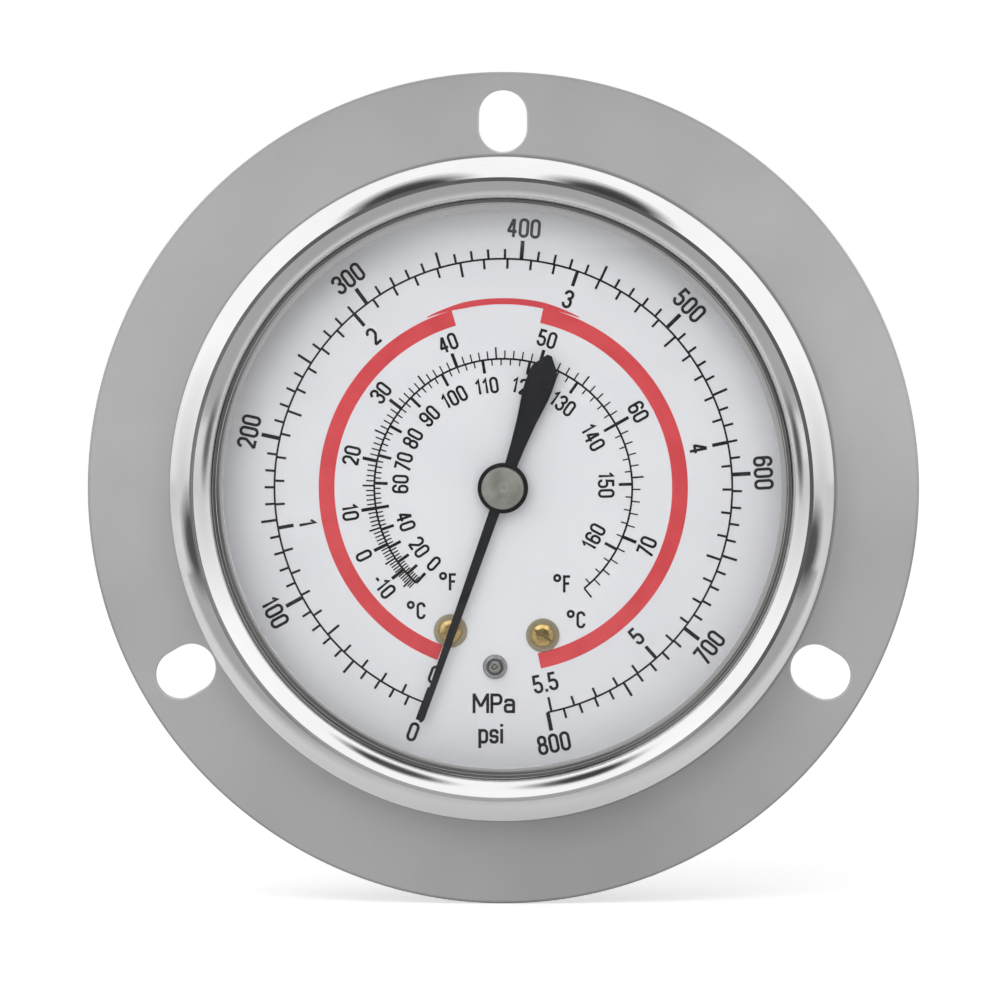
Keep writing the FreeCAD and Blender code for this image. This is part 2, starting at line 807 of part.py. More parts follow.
def cut_wrench_flats(body):
    flats = front_sketch(body, "WrenchFlats", of("case_depth") + of("hole_clearance"))
    half = of("wrench_flats") / 2
    outside = of("wrench_corner_radius") * OVERHANG
    rectangle(flats, (-outside, -outside), (outside, outside))
    rectangle(flats, (-half, -half), (half, half))
    pocket_back(body, flats, of("wrench_length") - of("hole_clearance"))


def cut_socket_holes(body):
    tapped = front_sketch(body, "CaseScrewTaps", socket_flange_back - of("case_screw_depth"))
    for place in case_screw_places():
        circle(tapped, place, of("case_screw_radius") + of("seat_clearance"))
    pocket_back(body, tapped, of("case_screw_depth"))
    front_taps = front_sketch(body, "MovementScrewTaps", back_plate_back)
    for place in movement_screw_places:
        circle(front_taps, place, of("movement_screw_radius") + of("seat_clearance"))
    pocket_back(body, front_taps, of("movement_screw_depth"))
    post_taps = front_sketch(body, "DialPostTaps", back_plate_back)
    for place in dial_screw_places:
        circle(post_taps, place, of("dial_post_stud_radius") + of("seat_clearance"))
    pocket_back(body, post_taps, of("dial_post_stud_length"))
    drill = of("passage_radius")
    cross_depth = back_plate_back + drill * 2.5
    passage = front_sketch(body, "Passage", cross_depth)
    circle(passage, ORIGIN, drill)
    pocket_back(body, passage, flare_end - of("socket_bore_depth") - cross_depth)
    cross = new_sketch(body, "CrossPassage", RADIUS_PLANE)
    circle(cross, (drill, cross_depth), drill)
    document.recompute()
    before = body.Shape.Volume
    cut = body.newObject("PartDesign::Pocket", "CrossPassagePocket")
    cut.Profile = cross
    bind(cut, "Length", of("tube_arc_radius"))
    document.recompute()
    if not body.Shape.Volume < before:
        raise RuntimeError("the cross passage cuts nothing")


def make_restrictor_screw():
    radius = of("socket_bore_radius") - of("seat_clearance")
    start = flare_end - of("socket_bore_depth")
    end = start + of("restrictor_length")
    screw = stepped([ORIGIN], [(radius, start, end)])
    hole = rod(ORIGIN, of("restrictor_hole_radius"), start, end)
    slots = driver_slots([ORIGIN], radius, end, of("restrictor_length") / 4)
    keep(without(screw, [hole] + slots), "restrictor_screw")


# Dial

def make_dial():
    body = new_body("dial")
    disc = front_sketch(body, "DialDisc", dial_front)
    circle(disc, ORIGIN, dial_radius)
    circle(disc, ORIGIN, of("dial_hole_radius"))
    for place in dial_screw_places:
        circle(disc, place, of("dial_screw_radius") + of("hole_clearance"))
    circle(disc, stop_pin_place, of("stop_pin_radius") + of("seat_clearance"))
    pad_back(body, disc, of("dial_thickness"))


def make_dial_screws():
    washer_front = dial_front - of("dial_washer_thickness")
    head_front = washer_front - of("dial_screw_head_height")
    screws = stepped(dial_screw_places, [
        (of("dial_screw_radius"), washer_front, dial_back + of("dial_screw_depth")),
        (of("dial_screw_head_radius"), head_front, washer_front),
    ])
    cutters = driver_slots(dial_screw_places, of("dial_screw_head_radius"), head_front,
                           of("dial_screw_head_height") / 2)
    keep(without(screws, cutters), "dial_screws")


def make_dial_washers():
    washer_front = dial_front - of("dial_washer_thickness")
    discs = stepped(dial_screw_places, [(of("dial_washer_radius"), washer_front, dial_front)])
    hole = of("dial_screw_radius") + of("seat_clearance")
    holes = [rod(place, hole, washer_front, dial_front) for place in dial_screw_places]
    keep(without(discs, holes), "dial_washers")


def make_dial_posts():
    posts = stepped(dial_screw_places, [
        (of("dial_post_radius"), dial_back, back_plate_back),
        (of("dial_post_stud_radius"), back_plate_back, back_plate_back + of("dial_post_stud_length")),
    ])
    hole = of("dial_screw_radius") + of("seat_clearance")
    taps = [rod(place, hole, dial_back, dial_back + of("dial_screw_depth")) for place in dial_screw_places]
    keep(without(posts, taps), "dial_posts")


def make_stop_pin():
    """A riveted pin: a collar on the face of the dial, a head behind it and a tip that stops the pointer."""
    collar_height = of("dial_thickness") / 2
    keep(stepped([stop_pin_place], [
        (of("stop_pin_radius"), dial_front - of("stop_pin_height"), dial_back),
        (of("stop_pin_collar_radius"), dial_front - collar_height, dial_front),
        (of("stop_pin_collar_radius"), dial_back, dial_back + collar_height),
    ]), "stop_pin")


# Movement plates

def plate_outline(sketch, left):
    right = of("plate_right")
    shoulder = of("pillar_across") + of("plate_shoulder")
    outline(sketch, [
        (-left, -of("plate_left_half_height")),
        (-of("plate_shoulder"), -of("plate_half_height")),
        (shoulder, -of("plate_half_height")),
        (right, -of("plate_right_half_height")),
        (right, of("plate_right_half_height")),
        (shoulder, of("plate_half_height")),
        (-of("plate_shoulder"), of("plate_half_height")),
        (-left, of("plate_left_half_height")),
    ])


def round_corners(body, plate):
    """Rounds the edges of a plate that run along the depth axis."""
    document.recompute()
    corners = [
        f"Edge{number}"
        for number, edge in enumerate(plate.Shape.Edges, start=1)
        if isinstance(edge.Curve, Part.Line) and edge.BoundBox.YLength > 0.5 * edge.Length
    ]
    rounding = body.newObject("PartDesign::Fillet", f"{plate.Name}Round")
    rounding.Base = (plate, corners)
    bind(rounding, "Radius", of("plate_corner_round"))


def make_movement_back_plate():
    body = new_body("movement_back_plate")
    face = front_sketch(body, "BackPlate", back_plate_front)
    plate_outline(face, of("plate_left"))
    round_corners(body, pad_back(body, face, of("plate_thickness")))
    holes = front_sketch(body, "BackPlateHoles", back_plate_front)
    circle(holes, ORIGIN, of("shaft_pivot_radius") + of("running_clearance"))
    circle(holes, arbor_place, of("arbor_pivot_radius") + of("running_clearance"))
    for place in pillar_places:
        circle(holes, place, of("pillar_tenon_radius") + of("seat_clearance"))
    for place in movement_screw_places:
        circle(holes, place, of("movement_screw_radius") + of("seat_clearance"))
    circle(holes, stud_place, of("stud_tenon_radius") + of("seat_clearance"))
    pocket_back(body, holes, of("plate_thickness"))


def make_movement_front_plate():
    body = new_body("movement_front_plate")
    face = front_sketch(body, "FrontPlate", of("plate_front_depth"))
    plate_outline(face, of("front_plate_left"))
    round_corners(body, pad_back(body, face, of("plate_thickness")))
    holes = front_sketch(body, "FrontPlateHoles", of("plate_front_depth"))
    circle(holes, ORIGIN, of("shaft_radius") + of("running_clearance"))
    circle(holes, arbor_place, of("arbor_pivot_radius") + of("running_clearance"))
    for place in pillar_places:
        circle(holes, place, of("plate_screw_radius") + of("hole_clearance"))
    pocket_back(body, holes, of("plate_thickness"))


def make_movement_pillars():
    """Two pillars with a tenon riveted in the back plate and a tapped hole for the front plate's screws."""
    pillars = stepped(pillar_places, [
        (of("pillar_radius"), front_plate_back, back_plate_front),
        (of("pillar_tenon_radius"), back_plate_front, back_plate_back),
    ])
    hole = of("plate_screw_radius") + of("seat_clearance")
    end = front_plate_back + of("plate_screw_depth")
    taps = [rod(place, hole, front_plate_back, end) for place in pillar_places]
    keep(without(pillars, taps), "movement_pillars")


def make_plate_screws():
    head_front = of("plate_front_depth") - of("plate_screw_head_height")
    screws = stepped(pillar_places, [
        (of("plate_screw_radius"), of("plate_front_depth"), front_plate_back + of("plate_screw_depth")),
        (of("plate_screw_head_radius"), head_front, of("plate_front_depth")),
    ])
    cutters = driver_slots(pillar_places, of("plate_screw_head_radius"), head_front,
                           of("plate_screw_head_height") / 2)
    keep(without(screws, cutters), "plate_screws")


def make_movement_screws():
    head_front = back_plate_front - of("movement_screw_head_height")
    screws = stepped(movement_screw_places, [
        (of("movement_screw_radius"), back_plate_front, back_plate_back + of("movement_screw_depth")),
        (of("movement_screw_head_radius"), head_front, back_plate_front),
    ])
    cutters = driver_slots(movement_screw_places, of("movement_screw_head_radius"), head_front,
                           of("movement_screw_head_height") / 2)
    keep(without(screws, cutters), "movement_screws")


# Spring tube and link

def tube_section(sketch, inset, grow=0.0):
    """The flattened section of the tube, moved in by a wall thickness or out by a cap's wall."""
    half_thickness = of("tube_thickness") / 2 - inset + grow
    edge = of("tube_edge_round") - inset + grow
    bulge = edge - square_root(edge * edge - half_thickness * half_thickness)
    flat = of("tube_breadth") / 2 - inset + grow - bulge
    middle = of("tube_centre_depth")
    radius = of("tube_arc_radius")
    outline(sketch, [
        (middle - flat, -(radius + half_thickness)),
        (middle + flat, -(radius + half_thickness), edge),
        (middle + flat, -(radius - half_thickness)),
        (middle - flat, -(radius - half_thickness), edge),
    ])


def make_bourdon_tube():
    body = new_body("bourdon_tube")
    section = new_sketch(body, "TubeSection", SIDE_PLANE)
    tube_section(section, 0.0)
    tube_section(section, of("tube_wall"))
    bend = body.newObject("PartDesign::Revolution", "TubeBend")
    bend.Profile = section
    bend.ReferenceAxis = (section, ["H_Axis"])
    bind(bend, "Angle", of("tube_sweep"))


def make_tube_tip():
    """A cap brazed on the end of the tube, with a lug that takes the link's pin."""
    cap = document.addObject("PartDesign::Body", "TipCap")
    section = new_sketch(cap, "TipSection", SIDE_PLANE)
    tube_section(section, 0.0, of("tip_cap_wall"))
    bend = cap.newObject("PartDesign::Revolution", "TipBend")
    bend.Profile = section
    bend.ReferenceAxis = (section, ["H_Axis"])
    bind(bend, "Angle", of("tip_cap_sweep"))
    cap.Placement = FreeCAD.Placement(FreeCAD.Vector(), FreeCAD.Rotation(FreeCAD.Vector(0, 1, 0), 224))
    bind(cap, "Placement.Rotation.Angle", of("tube_sweep"))
    lug = document.addObject("PartDesign::Body", "TipLug")
    face = front_sketch(lug, "LugFace", lug_front)
    foot_bearing = 180 + of("tube_sweep") + of("tip_cap_sweep") / 2
    foot = polar(of("tube_arc_radius"), foot_bearing)
    side = polar(of("tip_lug_radius"), of("tip_pin_bearing"))
    outline(face, [
        (foot[0] - side[0], foot[1] - side[1]),
        (foot[0] + side[0], foot[1] + side[1]),
        (tip_place[0] + side[0], tip_place[1] + side[1], -(of("tip_lug_radius") * ROUND_END)),
        (tip_place[0] - side[0], tip_place[1] - side[1]),
    ])
    pad_back(lug, face, of("tip_lug_thickness"))
    hole = rod(tip_place, of("link_pin_radius") + of("seat_clearance"), lug_front, lug_back)
    keep(without(joined([cap, lug]), [hole]), "tube_tip")


def make_tip_link_pin():
    head = of("link_pin_head_height")
    front = link_front - of("link_side_gap") / 2
    keep(stepped([tip_place], [
        (of("link_pin_head_radius"), front - head, front),
        (of("link_pin_radius"), front, lug_back),
        (of("link_pin_head_radius"), lug_back, lug_back + head),
    ]), "tip_link_pin")


def make_sector_link_pin():
    head = of("link_pin_head_height")
    back = link_back + of("link_side_gap") / 2
    keep(stepped([tail_place], [
        (of("link_pin_head_radius"), sector_front - head, sector_front),
        (of("link_pin_radius"), sector_front, back),
        (of("link_pin_head_radius"), back, back + head),
    ]), "sector_link_pin")


def make_link():
    """A flat bar with round ends. The hole for the sector's pin is the looser one."""
    body = new_body("link")
    face = front_sketch(body, "LinkFace", link_front)
    half = of("link_width") / 2
    end_round = half * ROUND_END
    outline(face, [
        (tip_place[0] - half, tip_place[1], -end_round),
        (tip_place[0] + half, tip_place[1]),
        (tail_place[0] + half, tail_place[1], -end_round),
        (tail_place[0] - half, tail_place[1]),
    ])
    circle(face, tip_place, of("link_pin_radius") + of("running_clearance"))
    circle(face, tail_place, of("link_pin_radius") + of("link_slack"))
    pad_back(body, face, of("link_thickness"))


# Teeth

def involute(angle):
    return math.tan(angle) - angle


def tooth_half_angle(radius, pitch_radius, thickness):
    """Half the angle that a tooth takes up at a radius, in degrees, for an involute flank."""
    pressure = math.radians(of("pressure_angle").number)
    lean = math.acos(min(1.0, pitch_radius * math.cos(pressure) / radius))
    half = thickness / (2 * pitch_radius) + involute(pressure) - involute(lean)
    return math.degrees(half)


def spot(radius, bearing, centre):
    """A point at depth nought, from plain numbers."""
    angle = math.radians(bearing)
    return FreeCAD.Vector(centre[0] + radius * math.sin(angle), 0, centre[1] + radius * math.cos(angle))


def tooth_points(bearing, centre, pitch_radius, root_radius, tip_radius, thickness):
    """The points of one tooth: foot, middle and tip of each flank."""
    radii = [root_radius, (root_radius + tip_radius) / 2, tip_radius]
    halves = [tooth_half_angle(radius, pitch_radius, thickness) for radius in radii]
    rising = [spot(r, bearing - h, centre) for r, h in zip(radii, halves)]
    falling = [spot(r, bearing + h, centre) for r, h in zip(radii, halves)]
    return rising, falling[::-1]


def toothed_edges(bearings, centre, pitch_radius, root_radius, tip_radius, thickness):
    """The edges over a row of teeth, in order of bearing, and the row's first and last points."""
    edges = []
    feet = []
    for bearing in bearings:
        rising, falling = tooth_points(bearing, centre, pitch_radius, root_radius, tip_radius, thickness)
        if feet:
            edges.append(Part.LineSegment(feet[-1], rising[0]).toShape())
        edges.append(Part.Arc(*rising).toShape())
        edges.append(Part.LineSegment(rising[2], falling[0]).toShape())
        edges.append(Part.Arc(*falling).toShape())
        feet += [rising[0], falling[2]]
    return edges, feet[0], feet[-1]


def tooth_sizes(sign):
    """Addendum, dedendum and tooth thickness in millimetres: sign is 1 for the pinion, -1 for the sector.

    The pinion has few teeth, so its teeth stand further out and are thicker, and the sector's are
    shorter and thinner by as much. That keeps the sector's tips out of the pinion's roots.
    """
    module = of("gear_module").number
    shift = sign * (of("pinion_addendum_share").number - 1)
    pressure = math.radians(of("pressure_angle").number)
    addendum = module * (1 + shift)
    dedendum = module * (1 - shift + of("tooth_root_share").number)
    thickness = module * (math.pi / 2 + 2 * shift * math.tan(pressure)) - of("tooth_backlash").number / 2
    return addendum, dedendum, thickness


def pinion_face():
    addendum, dedendum, thickness = tooth_sizes(1)
    pitch_radius = pinion_pitch_radius.number
    count = int(of("pinion_teeth").number)
    bearings = [90 + 360 * index / count for index in range(count)]
    edges, first, last = toothed_edges(
        bearings, (0, 0), pitch_radius, pitch_radius - dedendum, pitch_radius + addendum, thickness)
    edges.append(Part.LineSegment(last, first).toShape())
    return Part.Face(Part.Wire(edges))


def sector_face():
    """The toothed part of the sector, down to its arbor, before its window is cut."""
    addendum, dedendum, thickness = tooth_sizes(-1)
    pitch_radius = sector_pitch_radius.number
    pitch_angle = 360 / of("sector_teeth").number
    sweep = (of("pointer_sweep") / gear_ratio).number
    count = int(math.ceil(sweep / pitch_angle)) + 3
    first_bearing = 270 - 1.5 * pitch_angle
    bearings = [first_bearing + pitch_angle * index for index in range(count)]
    centre = (arbor_place[0].number, arbor_place[1].number)
    edges, first, last = toothed_edges(
        bearings, centre, pitch_radius, pitch_radius - dedendum, pitch_radius + addendum, thickness)
    middle = spot(0, 0, centre)
    edges.append(Part.LineSegment(last, middle).toShape())
    edges.append(Part.LineSegment(middle, first).toShape())
    return Part.Face(Part.Wire(edges)), bearings, centre


def window_face(bearings, centre):
    """The opening between hub, rim and spokes that makes the sector light."""
    rim = sector_pitch_radius.number - tooth_sizes(-1)[1] - of("sector_rim").number
    near = of("sector_window_start").number
    spoke = of("sector_spoke").number
    wide = math.degrees(spoke / rim)
    narrow = math.degrees(spoke / near)
    start = bearings[0]
    end = bearings[-1]
    middle = (start + end) / 2
    corners = [spot(rim, start + wide, centre), spot(rim, end - wide, centre)]
    inner = [spot(near, end - narrow, centre), spot(near, start + narrow, centre)]
    edges = [
        Part.Arc(corners[0], spot(rim, middle, centre), corners[1]).toShape(),
        Part.LineSegment(corners[1], inner[0]).toShape(),
        Part.Arc(inner[0], spot(near, middle, centre), inner[1]).toShape(),
        Part.LineSegment(inner[1], corners[0]).toShape(),
    ]
    return Part.Face(Part.Wire(edges))


def make_sector_gear():
    toothed, bearings, centre = sector_face()
    fan = toothed.cut(window_face(bearings, centre))
    teeth = flat_shape("SectorFan", fan, sector_front, of("sector_thickness"))
    hub = rod(arbor_place, of("sector_hub_radius"), sector_front, sector_back)
    tail_round = rod(tail_place, of("sector_tail_width") / 2, sector_front, sector_back)
    arm = document.addObject("PartDesign::Body", "SectorTail")
    face = front_sketch(arm, "TailFace", sector_front)
    side = polar(of("sector_tail_width") / 2, of("sector_tail_bearing") - 90)
    outline(face, [
        (arbor_place[0] - side[0], arbor_place[1] - side[1]),
        (arbor_place[0] + side[0], arbor_place[1] + side[1]),
        (tail_place[0] + side[0], tail_place[1] + side[1]),
        (tail_place[0] - side[0], tail_place[1] - side[1]),
    ])
    pad_back(arm, face, of("sector_thickness"))
    holes = [
        rod(arbor_place, of("arbor_radius") + of("seat_clearance"), sector_front, sector_back),
        rod(tail_place, of("link_pin_radius") + of("seat_clearance"), sector_front, sector_back),
    ]
    keep(without(joined([teeth, hub, tail_round, arm]), holes), "sector_gear")


def make_sector_arbor():
    shake = of("running_clearance") * 2
    keep(stepped([arbor_place], [
        (of("arbor_pivot_radius"), of("plate_front_depth"), back_plate_back),
        (of("arbor_radius"), front_plate_back + shake, back_plate_front - shake),
    ]), "sector_arbor")


# Pointer shaft, hairspring and pointer

def make_pinion_shaft():
    shake = of("running_clearance") * 2
    teeth = flat_shape("PinionTeeth", pinion_face(), pinion_front, of("pinion_face"))
    shaft = stepped([ORIGIN], [
        (of("shaft_radius"), shaft_front, back_plate_front - shake),
        (of("shaft_pivot_radius"), back_plate_front - shake, back_plate_back),
    ])
    keep(joined([teeth, shaft]), "pinion_shaft")


def make_hairspring_collet():
    ring = stepped([ORIGIN], [(of("collet_radius"), collet_front, collet_back)])
    hole = rod(ORIGIN, of("shaft_radius") + of("seat_clearance"), collet_front, collet_back)
    keep(without(ring, [hole]), "hairspring_collet")


def spiral_edges(offset):
    """Half turns whose centres change over, so that each runs on into the next."""
    pitch = of("spring_pitch").number
    edges = []
    for index in range(int(of("spring_half_turns").number)):
        radius = spring_start_radius.number + offset + index * pitch / 2
        turn = 1 if index % 2 == 0 else -1
        middle = 0 if turn > 0 else pitch / 2
        start = FreeCAD.Vector(middle + turn * radius, 0, 0)
        top = FreeCAD.Vector(middle, 0, turn * radius)
        end = FreeCAD.Vector(middle - turn * radius, 0, 0)
        edges.append((start, top, end))
    return edges


def make_hairspring():
    half = of("spring_thickness").number / 2
    outer = spiral_edges(half)
    inner = spiral_edges(-half)
    edges = [Part.Arc(*points).toShape() for points in outer]
    edges.append(Part.LineSegment(outer[-1][2], inner[-1][2]).toShape())
    edges += [Part.Arc(*points[::-1]).toShape() for points in inner[::-1]]
    edges.append(Part.LineSegment(inner[0][0], outer[0][0]).toShape())
    face = Part.Face(Part.Wire(edges))
    start = collet_front + (of("collet_height") - of("spring_height")) / 2
    keep(flat_shape("Hairspring", face, start, of("spring_height")), "hairspring")


def make_hairspring_stud():
    keep(stepped([stud_place], [
        (of("stud_radius"), collet_front, back_plate_front),
        (of("stud_tenon_radius"), back_plate_front, back_plate_back),
    ]), "hairspring_stud")


def make_pointer():
    """A stamped needle, drawn upright and turned to its place at rest."""
    body = new_body("pointer")
    face = front_sketch(body, "PointerFace", pointer_front)
    needle = of("pointer_hub_width") / 2
    tip = of("pointer_tip_width") / 2
    neck = of("pointer_tail_neck_width") / 2
    tail = of("pointer_tail_width") / 2
    outline(face, [
        (-needle, 0),
        (-neck, -of("pointer_disc_radius")),
        (-tail, -of("pointer_tail_widening")),
        (-tail, -of("pointer_tail_shoulder")),
        (0, -of("pointer_tail_length")),
        (tail, -of("pointer_tail_shoulder")),
        (tail, -of("pointer_tail_widening")),
        (neck, -of("pointer_disc_radius")),
        (needle, 0),
        (tip, pointer_length - tip),
        (0, pointer_length),
        (-tip, pointer_length - tip),
    ])
    pad_back(body, face, of("pointer_thickness"))
    disc = front_sketch(body, "PointerDisc", pointer_front)
    circle(disc, ORIGIN, of("pointer_disc_radius"))
    pad_back(body, disc, of("pointer_thickness"))
    hole = front_sketch(body, "PointerHole", pointer_front)
    circle(hole, ORIGIN, of("hub_boss_radius") + of("seat_clearance"))
    pocket_back(body, hole, of("pointer_thickness"))
    turned = FreeCAD.Rotation(FreeCAD.Vector(0, 1, 0), of("pointer_bearing").number)
    body.Placement = FreeCAD.Placement(FreeCAD.Vector(), turned)
    bind(body, "Placement.Rotation.Angle", of("pointer_bearing"))


def make_pointer_hub():
    body = new_body("pointer_hub")
    boss_back = pointer_back + of("hub_boss_length")
    bore = of("shaft_radius") + of("seat_clearance")
    edge = of("hub_dimple_depth")
    turn_round(body, "HubSection", [
        (0, hub_front + of("hub_dimple_depth")),
        (of("hub_dimple_radius"), hub_front),
        (of("hub_radius") - edge, hub_front),
        (of("hub_radius"), hub_front + edge),
        (of("hub_radius"), pointer_front),
        (of("hub_boss_radius"), pointer_front),
        (of("hub_boss_radius"), boss_back),
        (bore, boss_back),
        (bore, shaft_front),
        (0, shaft_front),
    ])


MAKERS = [
    make_mounting_flange, make_bezel_ring, make_window, make_window_gasket, make_case_cup,
    make_vent_plug, make_case_screws, make_socket_seal, make_socket, make_restrictor_screw,
    make_dial, make_dial_screws, make_dial_washers, make_dial_posts, make_stop_pin,
    make_movement_back_plate, make_movement_front_plate, make_movement_pillars, make_plate_screws,
    make_movement_screws, make_bourdon_tube, make_tube_tip, make_tip_link_pin, make_sector_link_pin,
    make_link, make_sector_gear, make_sector_arbor, make_pinion_shaft, make_hairspring_collet,
    make_hairspring, make_hairspring_stud, make_pointer, make_pointer_hub,
]

for make in MAKERS:
    make()
document.recompute()

for thing in document.Objects:
    if "Invalid" in thing.State or "Error" in thing.State:
        raise RuntimeError(f"{thing.Label} did not build: {thing.State}")

os.makedirs("parts", exist_ok=True)
for piece in pieces:
    shape = piece.Shape
    if shape.isNull() or not shape.isValid():
        raise RuntimeError(f"{piece.Label} has no valid shape")
    shape.exportStep(f"parts/{piece.Label}.step")
    print(f"{piece.Label}: {len(shape.Solids)} solid(s), {shape.Volume:.2f} cubic mm")
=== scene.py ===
# %% [markdown]
# # A panel pressure gauge for refrigerant
# The gauge has a steel flange that is screwed on a panel, a polished bezel with a flat window, a white
# dial and a black pointer. Behind the panel sit a drawn cup and a brass connection.
# The solids come from CAD and stay as they are. This script loads them as a frame, covers most of those
# that show with finer pieces, and gives every piece a finish that is made of shader nodes.
# Lengths are written in millimetres, as on a drawing, and turned to metres where a mesh is made.

# %% Load the frame
import math

import bmesh
import bpy
from mathutils import Matrix, Vector


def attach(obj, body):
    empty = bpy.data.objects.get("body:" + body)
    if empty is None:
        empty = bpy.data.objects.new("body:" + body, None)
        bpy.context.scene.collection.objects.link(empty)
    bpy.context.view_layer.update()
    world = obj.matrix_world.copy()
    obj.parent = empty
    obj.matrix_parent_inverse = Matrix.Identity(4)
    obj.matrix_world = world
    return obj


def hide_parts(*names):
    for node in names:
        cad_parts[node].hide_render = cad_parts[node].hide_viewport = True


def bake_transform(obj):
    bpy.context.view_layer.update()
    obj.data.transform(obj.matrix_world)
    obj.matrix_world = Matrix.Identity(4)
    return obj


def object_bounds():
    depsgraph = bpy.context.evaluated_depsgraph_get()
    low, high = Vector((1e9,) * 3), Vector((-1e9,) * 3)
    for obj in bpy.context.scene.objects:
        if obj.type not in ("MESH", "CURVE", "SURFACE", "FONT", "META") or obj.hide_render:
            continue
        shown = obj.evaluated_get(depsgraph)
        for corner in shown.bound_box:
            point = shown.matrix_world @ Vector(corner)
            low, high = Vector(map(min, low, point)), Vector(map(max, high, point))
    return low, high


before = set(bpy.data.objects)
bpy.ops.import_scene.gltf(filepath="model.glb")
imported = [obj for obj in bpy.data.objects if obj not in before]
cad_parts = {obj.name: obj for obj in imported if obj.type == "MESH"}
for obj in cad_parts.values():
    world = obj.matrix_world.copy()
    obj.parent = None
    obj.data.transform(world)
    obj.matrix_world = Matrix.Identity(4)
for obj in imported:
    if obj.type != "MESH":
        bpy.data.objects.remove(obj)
cad_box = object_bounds()
MM = 0.001
print("box of the solids in mm:", [[round(v / MM, 1) for v in corner] for corner in cad_box])

# %% [markdown]
# ## Tools for shapes
# A gauge is mostly turned and stamped. A turned piece is an outline that runs once round the depth axis,
# and a stamped piece is a flat outline with holes that gets a thickness. Both could come from curve
# objects too, but a bmesh keeps control of the edges: the ones that show get a small rounding, because a
# real edge is never sharp and catches a thin line of light.

# %% Outlines
def polar(radius, bearing, centre=(0, 0)):
    """The place (across, up) at a radius and bearing. Bearings run clockwise from the top."""
    angle = math.radians(bearing)
    return (centre[0] + radius * math.sin(angle), centre[1] + radius * math.cos(angle))


def ring_outline(radius, count=180):
    return [polar(radius, 360 * index / count) for index in range(count)]


def rounded(corners, steps=5):
    """An outline whose corners (a, b, rounding) are each turned into a small arc."""
    points = []
    for index, corner in enumerate(corners):
        here = Vector(corner[:2])
        if len(corner) == 2:
            points.append(here)
            continue
        to_last = (Vector(corners[index - 1][:2]) - here).normalized()
        to_next = (Vector(corners[(index + 1) % len(corners)][:2]) - here).normalized()
        half = to_last.angle(to_next) / 2
        reach = corner[2] / math.tan(half)
        middle = here + (to_last + to_next).normalized() * corner[2] / math.sin(half)
        first = here + to_last * reach - middle
        last = here + to_next * reach - middle
        for step in range(steps + 1):
            points.append(middle + first.lerp(last, step / steps).normalized() * corner[2])
    return points


def bowed(start, end, bow, steps=14):
    """Points on a shallow arc from start to end, which stands out to the left by bow."""
    start, end = Vector(start), Vector(end)
    chord = end - start
    left = Vector((-chord.y, chord.x)).normalized()
    shares = [step / steps for step in range(steps + 1)]
    return [start + chord * share + left * bow * 4 * share * (1 - share) for share in shares]


print("a corner rounded by 0.5 mm has", len(rounded([(0, 0), (4, 0, 0.5), (4, 4)])) - 2, "points")

# %% Turned and stamped pieces
def turned(outline, around=(0, 0), steps=180):
    """A mesh that is turned about the depth axis, or about a line beside it, from (radius, depth)."""
    builder = bmesh.new()
    verts = [builder.verts.new((radius * MM, depth * MM, 0)) for radius, depth in outline]
    runs = list(zip(verts, verts[1:] + verts[:1]))
    edges = [builder.edges.new(run) for run in runs if run[0].co.x + run[1].co.x > 0]
    bmesh.ops.spin(builder, geom=verts + edges, axis=(0, 1, 0), cent=(0, 0, 0),
                   angle=math.tau, steps=steps, use_merge=True)
    bmesh.ops.remove_doubles(builder, verts=builder.verts, dist=0.0001 * MM)
    bmesh.ops.translate(builder, verts=builder.verts, vec=(around[0] * MM, 0, around[1] * MM))
    bmesh.ops.recalc_face_normals(builder, faces=builder.faces)
    return builder


def stamped(outlines, depth, thickness, edge):
    """A plate with rounded edges. The first outline is its rim and the others are holes."""
    builder = bmesh.new()
    edges = []
    for outline in outlines:
        verts = [builder.verts.new((across * MM, depth * MM, up * MM)) for across, up in outline]
        edges += [builder.edges.new(run) for run in zip(verts, verts[1:] + verts[:1])]
    bmesh.ops.triangle_fill(builder, use_beauty=True, edges=edges)
    raised = bmesh.ops.extrude_face_region(builder, geom=builder.faces[:])
    moved = [part for part in raised["geom"] if isinstance(part, bmesh.types.BMVert)]
    bmesh.ops.translate(builder, verts=moved, vec=(0, thickness * MM, 0))
    bmesh.ops.recalc_face_normals(builder, faces=builder.faces)
    rims = [line for line in builder.edges
            if len(line.link_faces) == 2
            and sorted(abs(face.normal.y) > 0.5 for face in line.link_faces) == [False, True]]
    bmesh.ops.bevel(builder, geom=rims, offset=edge * MM, offset_type="OFFSET", segments=3,
                    profile=0.5, affect="EDGES", clamp_overlap=True)
    return builder


def row_at(builder, radius, bearing, section):
    """A row of verts: a section of (outwards, depth), set up at a radius and bearing."""
    row = []
    for outwards, depth in section:
        across, up = polar(radius + outwards, bearing)
        row.append(builder.verts.new((across * MM, depth * MM, up * MM)))
    return row


def join_rows(builder, rows, ring=True, loop=False, caps=False):
    """Faces between rows of verts. In a ring each row closes on itself, and in a loop the rows do too."""
    for left, right in zip(rows, rows[1:] + rows[:1] if loop else rows[1:]):
        for index in range(len(left) if ring else len(left) - 1):
            after = (index + 1) % len(left)
            builder.faces.new((left[index], left[after], right[after], right[index]))
    if caps:
        builder.faces.new(rows[0])
        builder.faces.new(rows[-1][::-1])
    if ring:
        bmesh.ops.recalc_face_normals(builder, faces=builder.faces)


def gathered(*builders):
    """Several meshes as one."""
    whole = bmesh.new()
    for builder in builders:
        mesh = bpy.data.meshes.new("part")
        builder.to_mesh(mesh)
        builder.free()
        whole.from_mesh(mesh)
        bpy.data.meshes.remove(mesh)
    return whole


